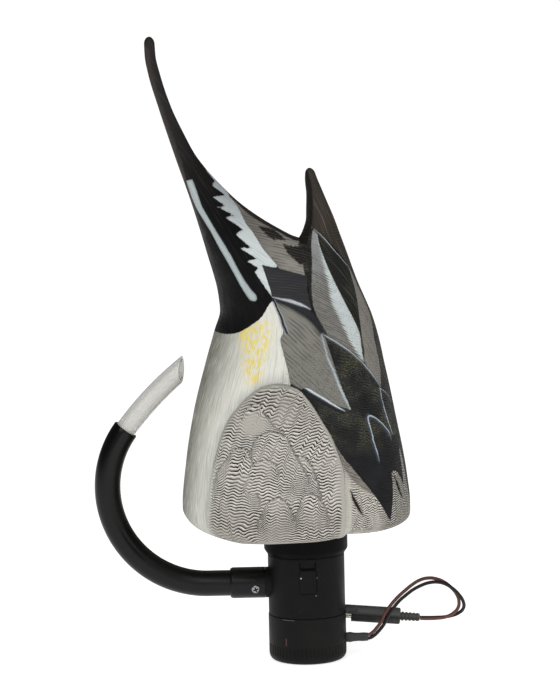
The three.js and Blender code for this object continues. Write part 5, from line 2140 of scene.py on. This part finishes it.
@dataclass
class WaterWorks:
    """The sleeve on the outlet, its screw, the black hose and the clear nozzle."""

    outlet_height: float = 63.0
    sleeve_start: float = 33.5
    sleeve_end: float = 61.5
    sleeve_radius: float = 12.5
    screw_place: float = -41.0
    screw_drop: float = 14.0
    screw_radius: float = 3.5
    straight_end: float = 79.0
    hose_bend: float = 79.4
    hose_sweep: float = math.radians(127.3)
    hose_radius: float = 10.4
    hose_bore: float = 8.8
    nozzle_bend: float = 277.0
    nozzle_sweep: float = math.radians(13.6)
    nozzle_radius: float = 8.4
    nozzle_bore: float = 6.8
    nozzle_insert: float = 15.0
    mouth_turn: float = math.radians(14)

    def _centre(self, along: float) -> tuple[Array, Array]:
        """Return the point and the direction of the water's way at a distance from the sleeve's start.

        Args:
            along: The distance.

        Returns:
            The point and the unit direction.
        """
        straight = self.straight_end - self.sleeve_start
        if along < straight:
            return np.array([-self.sleeve_start - along, 0, self.outlet_height]), np.array([-1.0, 0, 0])
        turn = min((along - straight) / self.hose_bend, self.hose_sweep)
        x = -self.straight_end - self.hose_bend * math.sin(turn)
        z = self.outlet_height + self.hose_bend * (1 - math.cos(turn))
        rest = max(0.0, along - straight - self.hose_bend * self.hose_sweep) / self.nozzle_bend
        x -= self.nozzle_bend * (math.sin(turn + rest) - math.sin(turn)) if rest else 0
        z += self.nozzle_bend * (math.cos(turn) - math.cos(turn + rest)) if rest else 0
        heading = turn + rest
        return np.array([x, 0, z]), np.array([-math.cos(heading), 0, math.sin(heading)])

    @property
    def hose_end(self) -> float:
        """How far along the way the hose ends."""
        return self.straight_end - self.sleeve_start + self.hose_bend * self.hose_sweep

    def _rings(self, stations: Sequence[Point], sides: int) -> Array:
        """Return rings round the water's way, one for each pair of distance along it and radius.

        Args:
            stations: The pairs.
            sides: How many points each ring has.

        Returns:
            Rings by points by three numbers.
        """
        angles = even_angles(sides)
        rings = []
        for along, radius in stations:
            point, heading = self._centre(along)
            outwards = np.array([-heading[2], 0, heading[0]])
            spread = np.cos(angles)[:, None] * outwards + np.sin(angles)[:, None] * np.array([0, 1, 0])
            rings.append(point + radius * spread)
        return np.array(rings)

    def sleeve(self) -> Piece:
        """Make the sleeve that clamps the hose on the outlet.

        Returns:
            The sleeve.
        """
        inner, outer = self.hose_radius + 0.3, self.sleeve_radius
        start, end = self.sleeve_start, self.sleeve_end
        profile = filleted((
            (inner, start), (outer, start, 0.2), (outer, end - 1.7, 1.0), (outer - 1.0, end, 0.5),
            (inner, end), (inner, start + 2)))
        rings = moved(turned_rings(profile, even_angles(80)), lying(self.outlet_height))
        rows, columns, _ = rings.shape
        return new_mesh("sleeve", rings.reshape(-1, 3), grid_faces(rows, columns, True), 50)

    def screw(self) -> list[Piece]:
        """Make the screw in the sleeve, as its head and a dark plate in each arm of its cross recess, which
        paints the shade there.

        Returns:
            The head and the painted shade in the recess.
        """
        radius = self.screw_radius
        profile = filleted(((radius, 0), (radius, 1.0, 0.5), (radius * 0.72, 1.85, 0.8), (0.3, 2.0)))
        head = capped_loft("screw_head", turned_rings(profile, even_angles(48)), 30)
        recess_shades: list[Piece] = []
        for turn in (20, 110):
            half = np.array([[-2.3, -0.62], [2.3, -0.62], [2.3, 0.62], [-2.3, 0.62]])
            levels = ((1.3, 0.9), (2.6, 1.05))
            slot = np.array([np.column_stack([half * s, np.full(4, z)]) for z, s in levels])
            spin = Matrix.Rotation(math.radians(turn), 4, "Z")
            head = combined("screw", head, capped_loft("recess", moved(slot, spin)), Join.CUT)
            # A dark plate in each arm of the recess: painted shade.
            plate = np.array([np.column_stack([half * 0.93, np.full(4, z)]) for z in (1.25, 1.5)])
            recess_shades.append(capped_loft(f"recess_{turn}", moved(plate, spin)))
        drop = math.radians(self.screw_drop)
        seat = self.sleeve_radius - 0.2
        place = Vector((self.screw_place, -seat * math.cos(drop), self.outlet_height - seat * math.sin(drop)))
        pieces = [head, combined("screw_recess_shade", *recess_shades, Join.UNION)]
        for piece in pieces:
            piece.data.transform(Matrix.Translation(place * MM) @ Matrix.Rotation(math.pi / 2 + drop, 4, "X"))
        return pieces

    def hose(self) -> Piece:
        """Make the black hose with its open end.

        Returns:
            The hose.
        """
        end, radius, bore = self.hose_end, self.hose_radius, self.hose_bore
        outer = [(s, radius) for s in np.linspace(0.3, end - 0.8, 76)]
        lip = [(end - 0.35, radius - 0.12), (end, radius - 0.6), (end, bore + 0.3)]
        inner = [(s, bore) for s in np.linspace(end - 0.3, 0.3, 30)]
        rings = self._rings(outer + lip + inner, 64)
        rows, columns, _ = rings.shape
        return new_mesh("hose", rings.reshape(-1, 3), grid_faces(rows, columns, True), 50)

    def nozzle(self) -> Piece:
        """Make the clear nozzle with its slanted mouth.

        Returns:
            The nozzle.
        """
        start = self.hose_end - self.nozzle_insert
        end = self.hose_end + self.nozzle_bend * self.nozzle_sweep
        cut_room = 9.0
        stations = np.linspace(start, end - cut_room, 30)
        layers = []
        for radius in (self.nozzle_radius, self.nozzle_bore):
            rings = self._rings([(s, radius) for s in stations], 64)
            point, heading = self._centre(end)
            facing = np.array([math.cos(self.mouth_turn), -math.sin(self.mouth_turn), 0])
            last = self._rings([(end, radius)], 64)[0]
            reach = -((last - point) @ facing) / (heading @ facing)
            mouth = last + reach[:, None] * heading
            steps = [rings[-1] * (1 - t) + mouth * t for t in (0.35, 0.7, 1.0)]
            layers.append(np.concatenate([rings, np.array(steps)]))
        rings = np.concatenate([layers[0], layers[1][::-1]])
        rows, columns, _ = rings.shape
        return new_mesh("nozzle", rings.reshape(-1, 3), grid_faces(rows, columns, True), 40)

    def build(self, effects: Effects) -> list[Piece]:
        """Make and dress the sleeve, its screw, the hose and the nozzle.

        Args:
            effects: The shared effects.

        Returns:
            The pieces.
        """
        sleeve = dress(self.sleeve(), Slot.SLEEVE, SLEEVE_RUBBER.material(effects), "outlet_sleeve")
        head, recess = self.screw()
        return [
            sleeve,
            dress(head, Slot.SCREW, BRIGHT_STEEL.material(effects), "sleeve_screw"),
            # The recess plates carry painted shade.
            dress(recess, Slot.SCREW, SHADED_BLACK_PLASTIC.material(effects), "sleeve_screw"),
            dress(self.hose(), Slot.HOSE, HOSE_VINYL.material(effects), "water_hose"),
            dress(self.nozzle(), Slot.TUBE, ClearFinish().material(effects), "nozzle_tube"),
        ]


# The lead and its connector


RED_ROUTE: Sequence[Place] = (
    (48.8, 0, 17.8), (50.4, 0, 18.1), (52.7, 0, 19.7), (55.9, 0, 23.1), (59.6, 0.2, 28),
    (62.7, 0.6, 34.2), (67.2, 1.3, 40.7), (73.1, 2.3, 47.2), (79.5, 3.5, 52.6), (85.3, 4.5, 57),
    (91.9, 5.5, 60.6), (98.5, 6.5, 61.9), (105, 7.2, 61), (111.5, 8.3, 58), (117.1, 9.4, 53.2),
    (121.5, 10.4, 47.5), (123.5, 11.2, 41.5), (122.7, 12, 35.5), (118.6, 12.7, 30.9),
    (112.9, 13.2, 28.1), (105.6, 13.6, 27), (98.3, 14, 26.8), (91.9, 14.2, 27))
BLACK_ROUTE: Sequence[Place] = (
    (48.8, 0, 14.7), (50.9, 0, 15.25), (54.1, 0, 17.15), (58.1, 0, 21.1), (62.1, 0, 26.3),
    (65.4, 0, 32.9), (69.7, 0.1, 39.1), (75.2, 0.5, 45.4), (79.6, 1, 48.9), (85.1, 1.6, 53),
    (91.7, 2.2, 56.4), (98.2, 2.8, 58.6), (104.7, 3.4, 59.1), (111.3, 3.8, 57.7), (117.8, 4.7, 53.5),
    (123.5, 6.2, 47.4), (127.1, 8.7, 40.6), (127.0, 11.8, 35.1), (123.7, 14.6, 31), (118, 16.5, 28.3),
    (112.3, 17.4, 27.2), (105, 17.9, 26.8), (98.5, 18, 26.8), (91.9, 18, 27))


@dataclass
class LeadSet:
    """The two short leads, the seal that they leave by, and the snap connector that they end in."""

    wire_radius: float = 1.4
    lane_radius: float = 3.9
    lane_offset: float = 2.9
    lower_start: float = 5.5
    shell_end: float = 45.4
    relief_end: float = 61.2
    pin_radius: float = 1.5
    socket_radius: float = 2.2
    socket_depth: float = 10.0
    connector_start: Place = (30.6, 16.0, 33.0)
    connector_tilt: float = math.radians(5)
    seal_radius: HeightCurve = HeightCurve(
        (31.6, 2.3), (34, 2.55), (37.5, 2), (41, 1.8), (45, 1.95), (48.5, 1.7))

    def lead(self, name: str, route: Sequence[Place]) -> Piece:
        """Make one lead along its route.

        Args:
            name: The piece's name.
            route: The points that it passes, in millimetres.

        Returns:
            The curve.
        """
        curve = bpy.data.curves.new(name, "CURVE")
        curve.dimensions = "3D"
        curve.bevel_depth = self.wire_radius * MM
        curve.bevel_resolution = 4
        curve.resolution_u = 5
        curve.use_fill_caps = True
        line = curve.splines.new("BEZIER")
        line.bezier_points.add(len(route) - 1)
        for knot, place in zip(line.bezier_points, route):
            knot.co = Vector(place) * MM
            knot.handle_left_type = knot.handle_right_type = "AUTO"
        return linked(name, curve)

    def seal(self) -> Piece:
        """Make the two-lobed seal at the cap.

        Returns:
            The seal.
        """
        places = np.linspace(31.1, 48.95, 32)
        radius = self.seal_radius(np.clip(places, 31.6, 48.5)) - 0.05
        angles = even_angles(36)
        waist = 1 - 0.32 * np.cos(angles) ** 6
        y = radius[:, None] * np.cos(angles) * waist
        z = 16.1 + (1.7 + radius[:, None]) * np.sin(angles)
        rings = np.stack([np.broadcast_to(places[:, None], y.shape), y, z], -1)
        return capped_loft("seal", rings, 50)

    def _rod(self, name: str, profile: Sequence[Point], height: float) -> Piece:
        """Make a turned rod along +X at a height, from pairs of radius and place along it."""
        place = Matrix.Translation((0, 0, height)) @ Matrix.Rotation(math.pi / 2, 4, "Y")
        return capped_loft(name, moved(turned_rings(profile, even_angles(32)), place), 40)

    def _placed(self, piece: Piece) -> Piece:
        """Move a connector piece from its own frame to where it lies.

        Args:
            piece: The piece.

        Returns:
            The same piece.
        """
        start = Vector(self.connector_start) * MM
        piece.data.transform(Matrix.Translation(start) @ Matrix.Rotation(self.connector_tilt, 4, "Y"))
        return piece

    def connector(self) -> Piece:
        """Make the connector's moulded shell with both lanes, its socket, its slot and its ribbed tail.

        Returns:
            The shell.
        """
        radius, offset, end = self.lane_radius, self.lane_offset, self.shell_end
        profiles = [
            filleted(((2.4, start), (radius, start, 0.6), (radius, end, 1.6), (1.5, end)))
            for start in (0, self.lower_start)]
        upper = self._rod("upper_lane", profiles[0], offset)
        lower = self._rod("lower_lane", profiles[1], -offset)
        shell = combined("connector", upper, lower, Join.UNION)
        square = ((1, -1), (1, 1), (-1, 1), (-1, -1))
        ends = (self.lower_start + 0.4, end - 0.5)
        web = np.array([[(x, s * 3.0, t * offset) for s, t in square] for x in ends])
        shell = combined("connector", shell, capped_loft("web", web), Join.UNION)
        corners: list[tuple[float, ...]] = [(2.0, end - 1.5), (3.3, end - 0.5)]
        for rib in range(5):
            start = end + 1 + rib * 3
            size = 3.7 - rib * 0.1
            corners += [(2.9, start), (size, start, 0.3), (size, start + 1.6, 0.3), (2.9, start + 1.9)]
        corners += [(2.9, self.relief_end, 0.4), (1.6, self.relief_end)]
        shell = combined("connector", shell, self._rod("relief", filleted(corners, 4), 0), Join.UNION)
        bore = self._rod("bore", ((self.socket_radius, -1), (self.socket_radius, self.socket_depth)), offset)
        shell = combined("connector", shell, bore, Join.CUT)
        ends = (3.55, 10.05)
        slot = np.array([[(x, -radius + s * 1.5, offset + t * 1.3) for s, t in square] for x in ends])
        return self._placed(combined("connector", shell, capped_loft("slot", slot), Join.CUT))

    def pin(self) -> Piece:
        """Make the connector's bright pin.

        Returns:
            The pin.
        """
        radius = self.pin_radius
        profile = filleted(((0.3, 0.4), (radius, 0.4, 0.7), (radius, self.lower_start - 0.2)))
        return self._placed(self._rod("pin", profile, -self.lane_offset))

    def cords(self, shell: Piece, pin: Piece, effects: Effects) -> list[Piece]:
        """Args:
            shell: The connector's shell; not used.
            pin: The connector's pin; not used.
            effects: The shared effects.

        Returns:
            The leads.
        """
        wires = []
        for name, route, finish, slot, length, carried in (
            ("lead_red_wire", RED_ROUTE, RED_INSULATION, Slot.RED_WIRE, 0.1443, (shell,)),
            ("lead_black_wire", BLACK_ROUTE, BLACK_INSULATION, Slot.BLACK_WIRE, 0.152, (pin,)),
        ):
            wire = self.lead(name, route)
            dress(wire, slot, finish.material(effects), name.removesuffix("_wire"))
            wires.append(wire)
        return wires

    def build(self, effects: Effects) -> list[Piece]:
        """Make and dress the connector, its pin, the leads and the seal.

        Args:
            effects: The shared effects.

        Returns:
            The pieces.
        """
        shell = dress(self.connector(), Slot.CONNECTOR, CONNECTOR_RUBBER.material(effects), "connector_shell")
        pin = dress(self.pin(), Slot.CONTACT, BRIGHT_CONTACT.material(effects), "connector_pin")
        wires = self.cords(shell, pin, effects)
        seal = dress(self.seal(), Slot.SEAL, SEAL_RUBBER.material(effects), "lead_gland")
        return [shell, pin, *wires, seal]


# Light, camera and floor


@dataclass(frozen=True)
class SoftLight:
    """One large soft light, given by where it stands as seen from the decoy."""

    name: str
    azimuth: float
    elevation: float
    distance: float
    size: float
    power: float


@dataclass
class Studio:
    """A white studio: the camera, the soft lights and the pale floor."""

    target: Place = (-0.017198, 0.0, 0.251589)
    elevation: float = math.radians(7.2)
    roll: float = math.radians(1.3)
    distance: float = 2.4
    lens: float = 154.29
    sensor: float = 36.0
    floor_size: float = 60.0
    sky_glow: float = 0.42
    sky_reflected: float = 0.1
    floor_glow: float = 0.5
    floor_seen: float = 0.7
    lights: Sequence[SoftLight] = (
        SoftLight("key", -20, 34, 1.7, 1.2, 11.7),
        SoftLight("fill", 50, 18, 2.0, 1.4, 6.8),
        SoftLight("front", 2, 7, 3.0, 1.0, 2.2),
    )

    def camera(self) -> None:
        """Place the camera in front of the duck's -Y side."""
        forward = Vector((0, math.cos(self.elevation), -math.sin(self.elevation)))
        side = Vector((1, 0, 0))
        up = side.cross(forward)
        right = side * math.cos(self.roll) - up * math.sin(self.roll)
        top = up * math.cos(self.roll) + side * math.sin(self.roll)
        data = bpy.data.cameras.new("camera")
        data.sensor_fit = "VERTICAL"
        data.sensor_height = self.sensor
        data.lens = self.lens
        eye = linked("camera", data)
        turn = Matrix((right, top, -forward)).transposed().to_4x4()
        eye.matrix_world = Matrix.Translation(Vector(self.target) - forward * self.distance) @ turn
        bpy.context.scene.camera = eye

    def light(self) -> None:
        """Add the sky and the soft lights."""
        scene = bpy.context.scene
        scene.view_settings.view_transform = "Standard"
        world = bpy.data.worlds.new("studio")
        world.use_nodes = True
        kit = NodeKit(world.node_tree)
        back = next(n for n in world.node_tree.nodes if n.type == "BACKGROUND")
        back.inputs["Color"].default_value = (1.0, 1.0, 1.0, 1.0)
        ray = kit.add("ShaderNodeLightPath")
        dim = kit.step(ray.outputs["Is Glossy Ray"], 0.0, 1.0, self.sky_glow, self.sky_reflected)
        kit.feed(back.inputs["Strength"], kit.math("MAXIMUM", dim, ray.outputs["Is Camera Ray"]))
        scene.world = world
        for soft in self.lights:
            data = bpy.data.lights.new(soft.name, "AREA")
            data.size = soft.size
            data.energy = soft.power
            lamp = linked(soft.name, data)
            turn, rise = math.radians(soft.azimuth), math.radians(soft.elevation)
            away = Vector((math.sin(turn) * math.cos(rise), -math.cos(turn) * math.cos(rise), math.sin(rise)))
            lamp.location = Vector(self.target) + away * soft.distance
            lamp.rotation_euler = away.to_track_quat("Z", "Y").to_euler()

    def floor(self) -> None:
        """Lay the pale floor."""
        half = self.floor_size / 2 / MM
        corners = np.array([(-half, -half, 0), (half, -half, 0), (half, half, 0), (-half, half, 0)])
        plane = new_mesh("floor", corners, [(0, 1, 2, 3)])
        material, kit, shader = new_material("Pale floor")
        shader.inputs["Base Color"].default_value = (0.85, 0.85, 0.85, 1.0)
        shader.inputs["Roughness"].default_value = 0.9
        shader.inputs["Specular IOR Level"].default_value = 0.0
        shader.inputs["Emission Color"].default_value = (1.0, 1.0, 1.0, 1.0)
        seen = kit.add("ShaderNodeLightPath").outputs["Is Camera Ray"]
        glow = kit.step(seen, 0.0, 1.0, self.floor_glow, self.floor_seen)
        kit.feed(shader.inputs["Emission Strength"], glow)
        plane.data.materials.append(material)


def main() -> None:
    """Build the whole scene."""
    logging.basicConfig(level=logging.INFO, format="%(name)s %(message)s")
    studio = Studio()
    studio.camera()
    studio.light()
    studio.floor()
    effects = Effects()
    for assembly in (LeadSet(), PumpUnit(), WaterWorks(), DecoyBody()):
        for piece in assembly.build(effects):
            LOG.info("%s: %d faces", piece.name, len(piece.data.polygons) if piece.type == "MESH" else 0)


if __name__ == "__main__":
    main()
